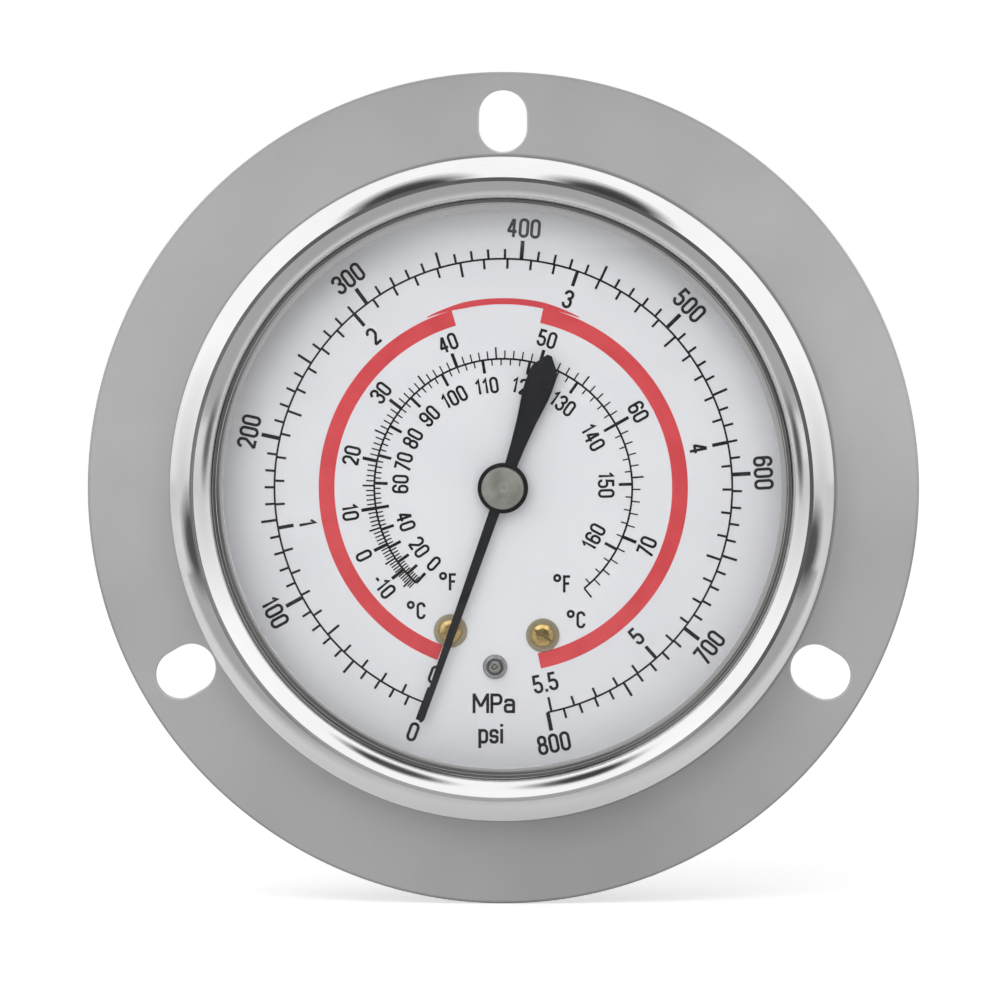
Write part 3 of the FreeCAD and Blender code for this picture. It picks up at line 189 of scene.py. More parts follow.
def as_object(name, builder, *finishes):
    """Puts a finished mesh in the scene."""
    mesh = bpy.data.meshes.new(name)
    builder.to_mesh(mesh)
    builder.free()
    for finish in finishes:
        mesh.materials.append(finish)
    thing = bpy.data.objects.new(name, mesh)
    bpy.context.collection.objects.link(thing)
    return thing


# An edge stays sharp where its faces bend by this much. A smaller bend is enough where only one of
# them is a cap, which lies square to the depth axis.
CREASE = math.radians(32)
CAP_CREASE = math.radians(8)
SQUARE_TO_DEPTH = 0.9999


def make_piece(name, builder, finish, body=None):
    """Turns a finished mesh into a piece that rides on a body of the frame."""
    for face in builder.faces:
        face.smooth = True
    for line in builder.edges:
        if len(line.link_faces) == 2:
            bend = line.calc_face_angle(0)
            caps = {abs(face.normal.y) > SQUARE_TO_DEPTH for face in line.link_faces}
            line.smooth = bend < (CAP_CREASE if len(caps) == 2 else CREASE)
    piece = as_object(name, builder, finish)
    if body:
        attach(piece, body)
    print(f"{name}: {len(piece.data.polygons)} faces")
    return piece


def cut_with(piece, cutters):
    """Cuts closed shapes out of a piece with the Boolean modifier, and keeps the result as its mesh."""
    tool = as_object("cutter", gathered(*cutters))
    cut = piece.modifiers.new("cut", "BOOLEAN")
    cut.operation = "DIFFERENCE"
    cut.solver = "EXACT"
    cut.object = tool
    shown = piece.evaluated_get(bpy.context.evaluated_depsgraph_get())
    mesh = bpy.data.meshes.new_from_object(shown)
    piece.modifiers.clear()
    piece.data = mesh
    bpy.data.objects.remove(tool)
    print(f"{piece.name}: {len(mesh.polygons)} faces after its cut")


def cuboid(low, high, turn=0.0, middle=(0, 0)):
    """A block between two corners (across, depth, up), turned about the depth axis through middle."""
    builder = bmesh.new()
    bmesh.ops.create_cube(builder, size=1)
    low, high = Vector(low) * MM, Vector(high) * MM
    pin = Vector((middle[0], 0, middle[1])) * MM
    place = Matrix.Translation(pin) @ Matrix.Rotation(math.radians(turn), 4, "Y")
    place = place @ Matrix.Translation((low + high) / 2) @ Matrix.Diagonal((*(high - low), 1))
    bmesh.ops.transform(builder, verts=builder.verts, matrix=place)
    return builder


# %% [markdown]
# ## Tools for finishes
# Three effects come back in many finishes, so each is a node group with named inputs and outputs:
# a fine grain in the surface, the rings that a lathe leaves, and soft patches such as handling leaves.
# They put out only values. Each finish mixes them into its own colour, roughness and bump, with its own
# sizes, so that the same group serves a satin sheet and a turned pin.

# %% Node groups
def new_group(name, inputs, outputs):
    """An empty node group with float inputs {name: value} and float outputs."""
    tree = bpy.data.node_groups.new(name, "ShaderNodeTree")
    for label, value in inputs.items():
        socket = tree.interface.new_socket(label, in_out="INPUT", socket_type="NodeSocketFloat")
        socket.default_value = value
    for label in outputs:
        tree.interface.new_socket(label, in_out="OUTPUT", socket_type="NodeSocketFloat")
    return tree, tree.nodes.new("NodeGroupInput"), tree.nodes.new("NodeGroupOutput")


def math_node(tree, operation, first, second=None):
    """A Math node. Each value is a number or a socket."""
    node = tree.nodes.new("ShaderNodeMath")
    node.operation = operation
    for slot, value in zip(node.inputs, (first, second)):
        if isinstance(value, (int, float)):
            slot.default_value = value
        elif value is not None:
            tree.links.new(value, slot)
    return node.outputs[0]


def noise_node(tree, size, detail, roughness):
    """Noise whose grains are about as wide as a size in millimetres."""
    node = tree.nodes.new("ShaderNodeTexNoise")
    tree.links.new(tree.nodes.new("ShaderNodeTexCoord").outputs["Object"], node.inputs["Vector"])
    tree.links.new(math_node(tree, "DIVIDE", 1 / MM, size), node.inputs["Scale"])
    node.inputs["Detail"].default_value = detail
    node.inputs["Roughness"].default_value = roughness
    return node.outputs["Fac"]


def along_axis(tree, axis):
    """How far each point of a surface lies along an axis, in millimetres."""
    place = tree.nodes.new("ShaderNodeSeparateXYZ")
    tree.links.new(tree.nodes.new("ShaderNodeTexCoord").outputs["Object"], place.inputs["Vector"])
    return math_node(tree, "DIVIDE", place.outputs[axis], MM)


def radius_from_middle(tree, across=0.0, up=0.0):
    """How far each point lies from the depth axis, or from a line beside it, in millimetres."""
    sides = [math_node(tree, "SUBTRACT", along_axis(tree, axis), middle)
             for axis, middle in (("X", across), ("Z", up))]
    squares = [math_node(tree, "MULTIPLY", side, side) for side in sides]
    return math_node(tree, "SQRT", math_node(tree, "ADD", *squares))


def grain_group():
    """Fine grain: Size is the width of a grain in millimetres."""
    tree, given, result = new_group("fine grain", {"Size": 0.1}, ["Value"])
    tree.links.new(noise_node(tree, given.outputs["Size"], 3.0, 0.6), result.inputs["Value"])
    return tree


def patches_group():
    """Soft patches: Size is the width of a patch in millimetres."""
    tree, given, result = new_group("soft patches", {"Size": 20.0}, ["Value"])
    spread = tree.nodes.new("ShaderNodeMapRange")
    spread.interpolation_type = "SMOOTHSTEP"
    spread.inputs["From Min"].default_value = 0.35
    spread.inputs["From Max"].default_value = 0.65
    tree.links.new(noise_node(tree, given.outputs["Size"], 4.0, 0.55), spread.inputs["Value"])
    tree.links.new(spread.outputs["Result"], result.inputs["Value"])
    return tree


# On a slope the depth spaces the rings too, and counts this many times as much as the radius
DEPTH_SHARE = 1.7


def rings_group():
    """Lathe rings round the depth axis, or round a line beside it. Width is one ring in millimetres."""
    inputs = {"Width": 0.2, "Across": 0.0, "Up": 0.0}
    tree, given, result = new_group("lathe rings", inputs, ["Value"])
    radius = radius_from_middle(tree, given.outputs["Across"], given.outputs["Up"])
    depth = math_node(tree, "MULTIPLY", along_axis(tree, "Y"), DEPTH_SHARE)
    along = math_node(tree, "ADD", radius, depth)
    noise = tree.nodes.new("ShaderNodeTexNoise")
    noise.noise_dimensions = "1D"
    tree.links.new(math_node(tree, "DIVIDE", along, given.outputs["Width"]), noise.inputs["W"])
    noise.inputs["Scale"].default_value = 1.0
    noise.inputs["Detail"].default_value = 3.0
    tree.links.new(noise.outputs["Fac"], result.inputs["Value"])
    return tree


GRAIN, PATCHES, RINGS = grain_group(), patches_group(), rings_group()
print("node groups:", [group.name for group in (GRAIN, PATCHES, RINGS)])

# %% Building a finish
class Finish:
    """A material with one Principled shader, and short ways to feed its sockets."""

    def __init__(self, name, **values):
        self.material = bpy.data.materials.new(name)
        self.material.use_nodes = True
        self.tree = self.material.node_tree
        self.shader = self.tree.nodes["Principled BSDF"]
        for socket, value in values.items():
            self.shader.inputs[socket.replace("_", " ")].default_value = value

    def effect(self, group, **values):
        node = self.tree.nodes.new("ShaderNodeGroup")
        node.node_tree = group
        for socket, value in values.items():
            node.inputs[socket].default_value = value
        return node.outputs["Value"]

    def shades(self, value, dark, light):
        """The base colour runs from dark to light with a value."""
        mix = self.tree.nodes.new("ShaderNodeMix")
        mix.data_type = "RGBA"
        self.tree.links.new(value, mix.inputs["Factor"])
        mix.inputs["A"].default_value = (*dark, 1)
        mix.inputs["B"].default_value = (*light, 1)
        self.tree.links.new(mix.outputs["Result"], self.shader.inputs["Base Color"])

    def rough(self, value, low, high):
        """The roughness runs from low to high with a value."""
        spread = self.tree.nodes.new("ShaderNodeMapRange")
        self.tree.links.new(value, spread.inputs["Value"])
        spread.inputs["To Min"].default_value = low
        spread.inputs["To Max"].default_value = high
        self.tree.links.new(spread.outputs["Result"], self.shader.inputs["Roughness"])

    def bump(self, value, height):
        """A value lifts the surface by up to a height in millimetres."""
        node = self.tree.nodes.new("ShaderNodeBump")
        node.inputs["Distance"].default_value = height * MM
        self.tree.links.new(value, node.inputs["Height"])
        self.tree.links.new(node.outputs["Normal"], self.shader.inputs["Normal"])

    def both(self, first, second, share=0.5):
        """Two values mixed into one."""
        mix = self.tree.nodes.new("ShaderNodeMix")
        mix.inputs["Factor"].default_value = share
        self.tree.links.new(first, mix.inputs["A"])
        self.tree.links.new(second, mix.inputs["B"])
        return mix.outputs["Result"]


def grey(value):
    return (value, value, value)


def metal(name, dark, light, ring_width=0.15, low=0.2, high=0.4, height=0.004, centre=(0, 0)):
    """A turned or drawn metal: lathe rings, grain and faint patches."""
    finish = Finish(name, Metallic=1.0)
    rings = finish.effect(RINGS, Width=ring_width, Across=centre[0], Up=centre[1])
    patches = finish.effect(PATCHES, Size=9.0)
    finish.shades(finish.both(rings, patches, share=0.2), dark, light)
    finish.rough(patches, low, high)
    finish.bump(finish.both(rings, finish.effect(GRAIN, Size=0.08), share=0.3), height)
    return finish.material


def coated(name, dark, light, patch, grain, low, high, height, **values):
    """Paint, ink or rubber: uneven in tone by patches, and in gloss and height by its grain."""
    finish = Finish(name, **values)
    finish.shades(finish.effect(PATCHES, Size=patch), dark, light)
    fine = finish.effect(GRAIN, Size=grain)
    finish.rough(fine, low, high)
    finish.bump(fine, height)
    return finish.material


print("a finish can be fed by:", [name for name in vars(Finish) if not name.startswith("_")])

# %% [markdown]
# ## Studio
# The photograph shows the gauge from straight ahead on pure white, so a long lens looks at it from just
# above the middle. The world lights it softly from everywhere and is plain white where the camera, a
# mirror or glass sees it. A broad lamp in front lights the sunken dial up to its rim, and another from the
# upper left gives the pointer its soft shadow. Polished metal needs something to mirror, so cards stand
# round the gauge, as a photographer would put them, out of the camera's sight.

# %% Camera
FRAME_WIDTH = 102.3
CAMERA_DISTANCE = 900.0
CAMERA_AZIMUTH = 1.5
CAMERA_ELEVATION = 1.5
FRAME_CENTRE = (-0.24, -1.0, -1.26)
SENSOR = 36.0


def aimed(name, data, place, target):
    """A camera or a lamp at a place, turned towards a target."""
    thing = bpy.data.objects.new(name, data)
    bpy.context.collection.objects.link(thing)
    thing.location = place * MM
    thing.rotation_euler = (target - place).to_track_quat("-Z", "Y").to_euler()
    return thing


def set_camera():
    data = bpy.data.cameras.new("camera")
    data.sensor_width = SENSOR
    data.lens = SENSOR * CAMERA_DISTANCE / FRAME_WIDTH
    data.clip_start = 0.05
    data.clip_end = 50
    azimuth, elevation = math.radians(CAMERA_AZIMUTH), math.radians(CAMERA_ELEVATION)
    back = Vector((math.sin(azimuth) * math.cos(elevation), -math.cos(azimuth) * math.cos(elevation),
                   math.sin(elevation)))
    centre = Vector(FRAME_CENTRE)
    bpy.context.scene.camera = aimed("camera", data, centre + back * CAMERA_DISTANCE, centre)
    print("lens in mm:", round(data.lens, 1))


set_camera()

# %% World
WORLD_LEVEL = 0.55


def seen_directly(tree):
    """A Light Path node, and a value that is 1 for what the camera sees, bare or through glass."""
    path = tree.nodes.new("ShaderNodeLightPath")
    return path, math_node(tree, "MAXIMUM", path.outputs["Is Camera Ray"],
                           path.outputs["Is Transmission Ray"])


def light_world():
    world = bpy.data.worlds.new("studio")
    world.use_nodes = True
    bpy.context.scene.world = world
    tree = world.node_tree
    path, seen = seen_directly(tree)
    seen = math_node(tree, "MAXIMUM", seen, path.outputs["Is Glossy Ray"])
    # Light that has come off something matt finds the world at its usual level again
    from_matt = math_node(tree, "GREATER_THAN", path.outputs["Diffuse Depth"], 0.5)
    seen = math_node(tree, "SUBTRACT", seen, from_matt)
    strength = math_node(tree, "MAXIMUM", seen, WORLD_LEVEL)
    background = tree.nodes["Background"]
    background.inputs["Color"].default_value = (1, 1, 1, 1)
    tree.links.new(strength, background.inputs["Strength"])
    print("the world lights at", WORLD_LEVEL)


light_world()

# %% Lamp
def add_lamp(name, place, size, power):
    data = bpy.data.lights.new(name, "AREA")
    data.shape = "SQUARE"
    data.size = size * MM
    data.energy = power
    aimed(name, data, Vector(place), Vector()).visible_glossy = False
    print(name, "power", power)


add_lamp("key_lamp", (-420, -620, 520), size=700, power=1.6)
add_lamp("front_lamp", (-50, -850, 240), size=800, power=4.6)

# %% Floor
def staged(name, builder, colour, glow=0.0):
    """A thing of the studio, which isn't part of the gauge. Its glow is the light it sends out itself."""
    finish = Finish(name, Roughness=0.9, Emission_Strength=glow)
    finish.shader.inputs["Base Color"].default_value = (*grey(colour), 1)
    finish.shader.inputs["Emission Color"].default_value = (1, 1, 1, 1)
    thing = as_object(name, builder, finish.material)
    return thing


FLOOR_GLOW = 0.5
FLOOR_REACH = 12000
FLOOR_GAP = 0.02


def lay_floor():
    floor = bmesh.new()
    height = cad_box[0].z - FLOOR_GAP * MM
    bmesh.ops.create_grid(floor, x_segments=1, y_segments=1, size=FLOOR_REACH * MM)
    bmesh.ops.translate(floor, verts=floor.verts, vec=(0, 0, height))
    tree = staged("floor", floor, 0.85).data.materials[0].node_tree
    glow = math_node(tree, "MULTIPLY", seen_directly(tree)[1], FLOOR_GLOW)
    tree.links.new(glow, tree.nodes["Principled BSDF"].inputs["Emission Strength"])
    print("height of the floor in mm:", round(height / MM, 2))


lay_floor()

# %% [markdown]
# ### Cards
# Each card is a sheet that shows only where something mirrors it. Dark ones draw the soft dark patches
# in the bezel. Grey ones far to the sides and a flat one below dim what its sides and its lower half
# mirror. A lamp could be shaped like this too, but it would light the dial as well. The near cards stand
# clear of the flange.

# %% Cards
TABLE_HEIGHT = -42.2
FAR = 380
ABOVE = 60
BESIDE = 62
CARD_STEPS = 24


def place_card(name, builder, level, through_glass):
    """A card throws no shadow, isn't in the picture, and is clear where its attribute called soft is 0."""
    card = staged(name, builder, 0.0, level)
    tree = card.data.materials[0].node_tree
    mask = tree.nodes.new("ShaderNodeAttribute")
    mask.attribute_name = "soft"
    tree.links.new(mask.outputs["Fac"], tree.nodes["Principled BSDF"].inputs["Alpha"])
    card.visible_camera = False
    card.visible_diffuse = False
    card.visible_transmission = through_glass
    card.visible_shadow = False


def shell_card(name, bearings, tilts, distance, level, fade=0.0):
    """Part of a ball round the gauge: bearings about the depth axis, tilts away from the reader.
    With a fade it is an ellipse that grows clear towards its edge, so that polished metal shows a soft
    patch. The cards round the reader have no fade, and the back face of the window mirrors them too."""
    shell = bmesh.new()
    soft = shell.verts.layers.float.new("soft")
    shares = [step / CARD_STEPS for step in range(CARD_STEPS + 1)]
    rows = []
    for column in shares:
        bearing = bearings[0] + (bearings[1] - bearings[0]) * column
        section = []
        for line in shares:
            tilt = math.radians(tilts[0] + (tilts[1] - tilts[0]) * line)
            section.append((distance * math.sin(tilt), -distance * math.cos(tilt)))
        rows.append(row_at(shell, 0.0, bearing, section))
        for vert, line in zip(rows[-1], shares):
            margin = 1 - math.hypot(2 * column - 1, 2 * line - 1)
            vert[soft] = max(0.0, min(1.0, margin / fade)) if fade else 1.0
    join_rows(shell, rows, ring=False)
    place_card(name, shell, level, through_glass=not fade)


def table_card(name, half_width, far, near, level, fade):
    """A flat card that lies before the gauge. Its near edge grows clear over a length in millimetres."""
    flat = bmesh.new()
    soft = flat.verts.layers.float.new("soft")
    rows = []
    for depth, cover in ((far, 1.0), (near - fade, 1.0), (near, 0.0)):
        rows.append([flat.verts.new(Vector((across, depth, TABLE_HEIGHT)) * MM)
                     for across in (-half_width, half_width)])
        for vert in rows[-1]:
            vert[soft] = cover
    join_rows(flat, rows, ring=False)
    place_card(name, flat, level, through_glass=False)


shell_card("card_reader", (0, 360), (0, 9), FAR, level=0.085)
shell_card("card_round_reader", (0, 360), (9, 23), FAR, level=0.36)
shell_card("card_above_left", (326, 356), (50, 77), ABOVE, level=0.04, fade=0.5)
shell_card("card_above_right", (5, 35), (50, 77), ABOVE, level=0.04, fade=0.5)
shell_card("card_right", (91, 112), (52, 80), BESIDE, level=0.07, fade=0.6)
shell_card("card_left", (248, 271), (52, 80), BESIDE, level=0.07, fade=0.6)
shell_card("card_far_right", (64, 120), (20, 120), FAR, level=0.62, fade=0.9)
shell_card("card_far_left", (240, 296), (20, 120), FAR, level=0.62, fade=0.9)
table_card("card_below", half_width=150, far=-620, near=-12, level=0.36, fade=12)
print("nine cards stand round the gauge")

# %% [markdown]
# ## Flange
# The flange is a stamped ring of stainless sheet with a satin face. Three slots, a third of a turn apart,
# take the panel's screws. It is one stamped piece, so the rim, the hole and the slots are outlines of
# one plate. The satin face is a nearly even grey with a fine grain. Its colour also holds painted shade:
# the tone falls off in a thin ring at the foot of the bezel and round the rim, which a radius can tell,
# and painted light and shade make the face lighter at both sides and darker below.

# %% Flange
BEZEL_RADIUS = 33.8
FLANGE_RADIUS = 42.5
FLANGE_THICKNESS = 1.0
SLOT_CIRCLE = 37.5
SLOT_LENGTH = 6.3
SLOT_WIDTH = 4.9
NECK_RADIUS = 31.8
NECK_LENGTH = 0.4
FOOT_SHADOW = 0.3
RIM_SHADOW = 0.3
EVEN_SHARE = 0.7
FAN_HEIGHT = 0.25
FAN_REACH = 1.25
FAN_STRENGTH = 0.45


def painted_fan_shade(tree):
    """Painted light and shade on the brushed face: lightest a little above the middle at both sides, darkest
    below.
    """
    height = math_node(tree, "DIVIDE", along_axis(tree, "Z"), FLANGE_RADIUS)
    away = math_node(tree, "DIVIDE", math_node(tree, "SUBTRACT", height, FAN_HEIGHT), FAN_REACH)
    return math_node(tree, "MULTIPLY", math_node(tree, "MULTIPLY", away, away), FAN_STRENGTH)


def satin_steel():
    finish = Finish("flange_satin_steel", Metallic=0.8)
    tree = finish.tree
    patches = finish.effect(PATCHES, Size=40.0)
    grain = finish.effect(GRAIN, Size=0.14)
    radius = radius_from_middle(tree)
    # Painted shade: the tone falls off in a thin ring at the foot of the bezel and round the rim
    from_bezel = math_node(tree, "SUBTRACT", radius, BEZEL_RADIUS + FOOT_SHADOW / 2)
    from_bezel = math_node(tree, "DIVIDE", from_bezel, FOOT_SHADOW)
    # Only the front face has the shadow at the bezel, so it ends a short way behind that face
    behind = math_node(tree, "ADD", along_axis(tree, "Y"), FLANGE_THICKNESS)
    from_bezel = math_node(tree, "ADD", from_bezel, math_node(tree, "MULTIPLY", behind, 20.0))
    from_rim = math_node(tree, "DIVIDE", math_node(tree, "SUBTRACT", FLANGE_RADIUS, radius), RIM_SHADOW)
    unshaded = math_node(tree, "MINIMUM", math_node(tree, "MINIMUM", from_bezel, from_rim), 1.0)
    uneven = math_node(tree, "MULTIPLY", finish.both(patches, grain), 1 - EVEN_SHARE)
    tone = math_node(tree, "ADD", math_node(tree, "MULTIPLY", unshaded, EVEN_SHARE), uneven)
    # Painted light and shade: the face is lighter at both sides and darker below
    tone = math_node(tree, "SUBTRACT", tone, painted_fan_shade(tree))
    finish.shades(tone, grey(0.33), grey(0.765))
    finish.rough(patches, low=0.36, high=0.40)
    finish.bump(grain, height=0.003)
    return finish.material


def slot_outline(bearing):
    """A slot with round ends that runs along a radius."""
    reach = (SLOT_LENGTH - SLOT_WIDTH) / 2
    points = []
    for end, first in ((1, -90), (-1, 90)):
        centre = polar(SLOT_CIRCLE + end * reach, bearing)
        points += [polar(SLOT_WIDTH / 2, bearing + first + 10 * step, centre) for step in range(19)]
    return points


def make_flange():
    outlines = [ring_outline(FLANGE_RADIUS, count=240), ring_outline(NECK_RADIUS)]
    outlines += [slot_outline(bearing) for bearing in (0, 120, 240)]
    plate = stamped(outlines, -FLANGE_THICKNESS, FLANGE_THICKNESS, edge=0.15)
    flange = make_piece("flange_plate", plate, satin_steel(), "housing")
    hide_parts("mounting_flange")


make_flange()

# %% [markdown]
# ## Bezel
# The bezel is pressed from thin stainless and polished: a round shoulder outside, a tight crest, a slope
# that falls to the window and a narrow lip that lies on it. It mirrors the whole studio, so its outline
# matters more than its colour. The shoulder and the slope are slightly bowed, as pressed sheet is, and
# that spreads the mirrored studio into soft bands.

# %% Bezel
WINDOW_FRONT = -4.9
CREST_DEPTH = -7.4
LIP_DEPTH = -5.4
CREST_RADIUS = 31.45
SHOULDER_FOOT = (33.8, -5.9)
SLOPE_FOOT = (29.5, -5.9)
LIP_RADIUS = 28.4
CRIMP_RADIUS = 32.0
CRIMP_BACK = -1.0
BEZEL_WALL = 0.5
CRIMP_FRONT = CRIMP_BACK - BEZEL_WALL
GROOVE_WIDTH = 0.22
LEAST_TONE = 0.91


def polished_steel():
    """Polished steel with painted shade: a thin dark ring in the crease at the foot of the slope."""
    finish = Finish("bezel_polished_steel", Metallic=1.0)
    rings = finish.effect(RINGS, Width=0.5)
    patches = finish.effect(PATCHES, Size=14.0)
    tree = finish.tree
    # Painted shade: the tone falls to dark in the crease where the slope meets the lip
    from_groove = math_node(tree, "SUBTRACT", radius_from_middle(tree), SLOPE_FOOT[0])
    from_groove = math_node(tree, "DIVIDE", math_node(tree, "ABSOLUTE", from_groove), GROOVE_WIDTH)
    unshaded = math_node(tree, "MINIMUM", from_groove, 1.0)
    uneven = math_node(tree, "MULTIPLY", finish.both(rings, patches), 1 - LEAST_TONE)
    tone = math_node(tree, "ADD", uneven, LEAST_TONE)
    finish.shades(math_node(tree, "MULTIPLY", unshaded, tone), grey(0.10), grey(0.96))
    finish.rough(patches, low=0.07, high=0.13)
    finish.bump(finish.both(rings, finish.effect(GRAIN, Size=0.2), share=0.3), height=0.004)
    return finish.material


def make_bezel():
    inside = BEZEL_RADIUS - BEZEL_WALL
    outline = rounded([(CRIMP_RADIUS, CRIMP_BACK), (BEZEL_RADIUS, CRIMP_BACK, 0.5),
                       (*SHOULDER_FOOT, 0.4), (CREST_RADIUS, CREST_DEPTH)], steps=8)[:-1]
    outline += bowed(outline[-1], (CREST_RADIUS + 0.25, CREST_DEPTH), bow=0.13, steps=28)[1:]
    outline += bowed((CREST_RADIUS - 0.15, CREST_DEPTH), SLOPE_FOOT, bow=0.1, steps=20)
    outline += rounded([
        (29.3, LIP_DEPTH + 0.08), (29.1, LIP_DEPTH, 0.1), (LIP_RADIUS, LIP_DEPTH + 0.09, 0.05),
        (LIP_RADIUS, WINDOW_FRONT), (29.8, WINDOW_FRONT), (31.3, -6.7, 0.1), (inside, -4.2, 0.8),
        (inside, CRIMP_FRONT), (CRIMP_RADIUS, CRIMP_FRONT),
    ])
    ring = turned(outline, steps=288)
    bezel = make_piece("bezel_polished", ring, polished_steel(), "housing")
    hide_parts("bezel_ring")


make_bezel()

# %% [markdown]
# ## Window
# The window is a flat disc of clear glass with ground edges. Real glass bends light, which Cycles follows
# for the camera, but a lamp's light would hardly find its way through it to the dial. So a Light Path
# node lets shadow rays pass straight through, and the dial is lit as if the pane were open.

# %% Window
WINDOW_RADIUS = 32.6
WINDOW_BACK = -2.9


def clear_glass():
    finish = Finish("window_clear_glass", Transmission_Weight=1.0, IOR=1.45)
    finish.shader.inputs["Base Color"].default_value = (0.985, 0.995, 0.99, 1)
    finish.rough(finish.effect(PATCHES, Size=8.0), low=0.0, high=0.03)
    tree = finish.tree
    clear = tree.nodes.new("ShaderNodeBsdfTransparent")
    path = tree.nodes.new("ShaderNodeLightPath")
    mix = tree.nodes.new("ShaderNodeMixShader")
    tree.links.new(path.outputs["Is Shadow Ray"], mix.inputs["Fac"])
    tree.links.new(finish.shader.outputs["BSDF"], mix.inputs[1])
    tree.links.new(clear.outputs["BSDF"], mix.inputs[2])
    tree.links.new(mix.outputs["Shader"], tree.nodes["Material Output"].inputs["Surface"])
    return finish.material


def make_window():
    disc = turned(rounded([(0, WINDOW_FRONT), (WINDOW_RADIUS, WINDOW_FRONT, 0.3),
                           (WINDOW_RADIUS, WINDOW_BACK, 0.3), (0, WINDOW_BACK)]))
    pane = make_piece("window_pane", disc, clear_glass(), "housing")
    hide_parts("window")


make_window()

# %% [markdown]
# ## Dial
# The dial is a disc of enamelled sheet. The print on it is a thin layer of ink, so every line, number and
# band here is a thin solid on the face of the disc. A picture of a dial would be quicker, but it would
# blur close up. Blender's own letters would do as well, but they are wide and light. An instrument's
# numbers are narrow, with strokes of one weight, so they are drawn here as a pen would draw them.

# %% Ink
DIAL_FRONT = 1.0
INK = 0.03
PRINT_DEPTH = DIAL_FRONT - INK
ARC_DEPTH = PRINT_DEPTH + 0.004
TAPER_TIP = 0.15
LONGEST_MITRE = 1.8


def ink(name, dark, light):
    """Printed ink: slightly uneven in tone, with a soft sheen."""
    return coated(name, dark, light, patch=3.0, grain=0.05, low=0.45, high=0.6, height=0.002,
                  Specular_IOR_Level=0.2)


def tick(bearing, inner, outer, width):
    return cuboid((-width / 2, PRINT_DEPTH, inner), (width / 2, DIAL_FRONT, outer), bearing)


def band(radius, width, start, end, taper=0.0, front=ARC_DEPTH):
    """A printed arc, a little thinner than the marks that cross it. Its ends narrow over a taper."""
    arc = bmesh.new()
    count = max(2, int(end - start))
    rows = []
    for index in range(count + 1):
        bearing = start + (end - start) * index / count
        margin = min(bearing - start, end - bearing)
        half = width / 2 * (min(1.0, TAPER_TIP + margin / taper) if taper else 1.0)
        section = ((-half, front), (half, front), (half, DIAL_FRONT), (-half, DIAL_FRONT))
        rows.append(row_at(arc, radius, bearing, section))
    join_rows(arc, rows, caps=True)
    return arc


def ribbon(path, width, closed, front=PRINT_DEPTH):
    """A strip of ink along a path of (across, up) places. Corners are mitred, within reason."""
    strip = bmesh.new()
    rows = []
    for index, here in enumerate(path):
        before = path[index - 1] if index or closed else here
        after = path[(index + 1) % len(path)] if index + 1 < len(path) or closed else here
        one, two = (here - before).normalized(), (after - here).normalized()
        along = (one + two).normalized()
        side = Vector((-along.y, along.x)) * width / 2
        side *= min(LONGEST_MITRE, 1 / max(0.1, along.dot(two if two.length else one)))
        left, right = here + side, here - side
        places = ((left, front), (right, front), (right, DIAL_FRONT), (left, DIAL_FRONT))
        rows.append([strip.verts.new(Vector((place.x, depth, place.y)) * MM) for place, depth in places])
    join_rows(strip, rows, loop=closed, caps=not closed)
    return strip


# Each letter is drawn as strokes in a box one wide and one tall, with a width of its own. A corner has
# a rounding where the pen goes round it, and a stroke whose first corner is rounded is a closed loop.
# The end of a straight stroke reaches past the box by half its own width, down to the foot or up to the top.
ROUND = 0.48
FOOT = -0.09
TOP = 1.09


def loop(left, bottom, right, top, rounding=ROUND):
    """The closed stroke round a box, by its four corners."""
    return [(left, bottom, rounding), (right, bottom, rounding), (right, top, rounding),
            (left, top, rounding)]


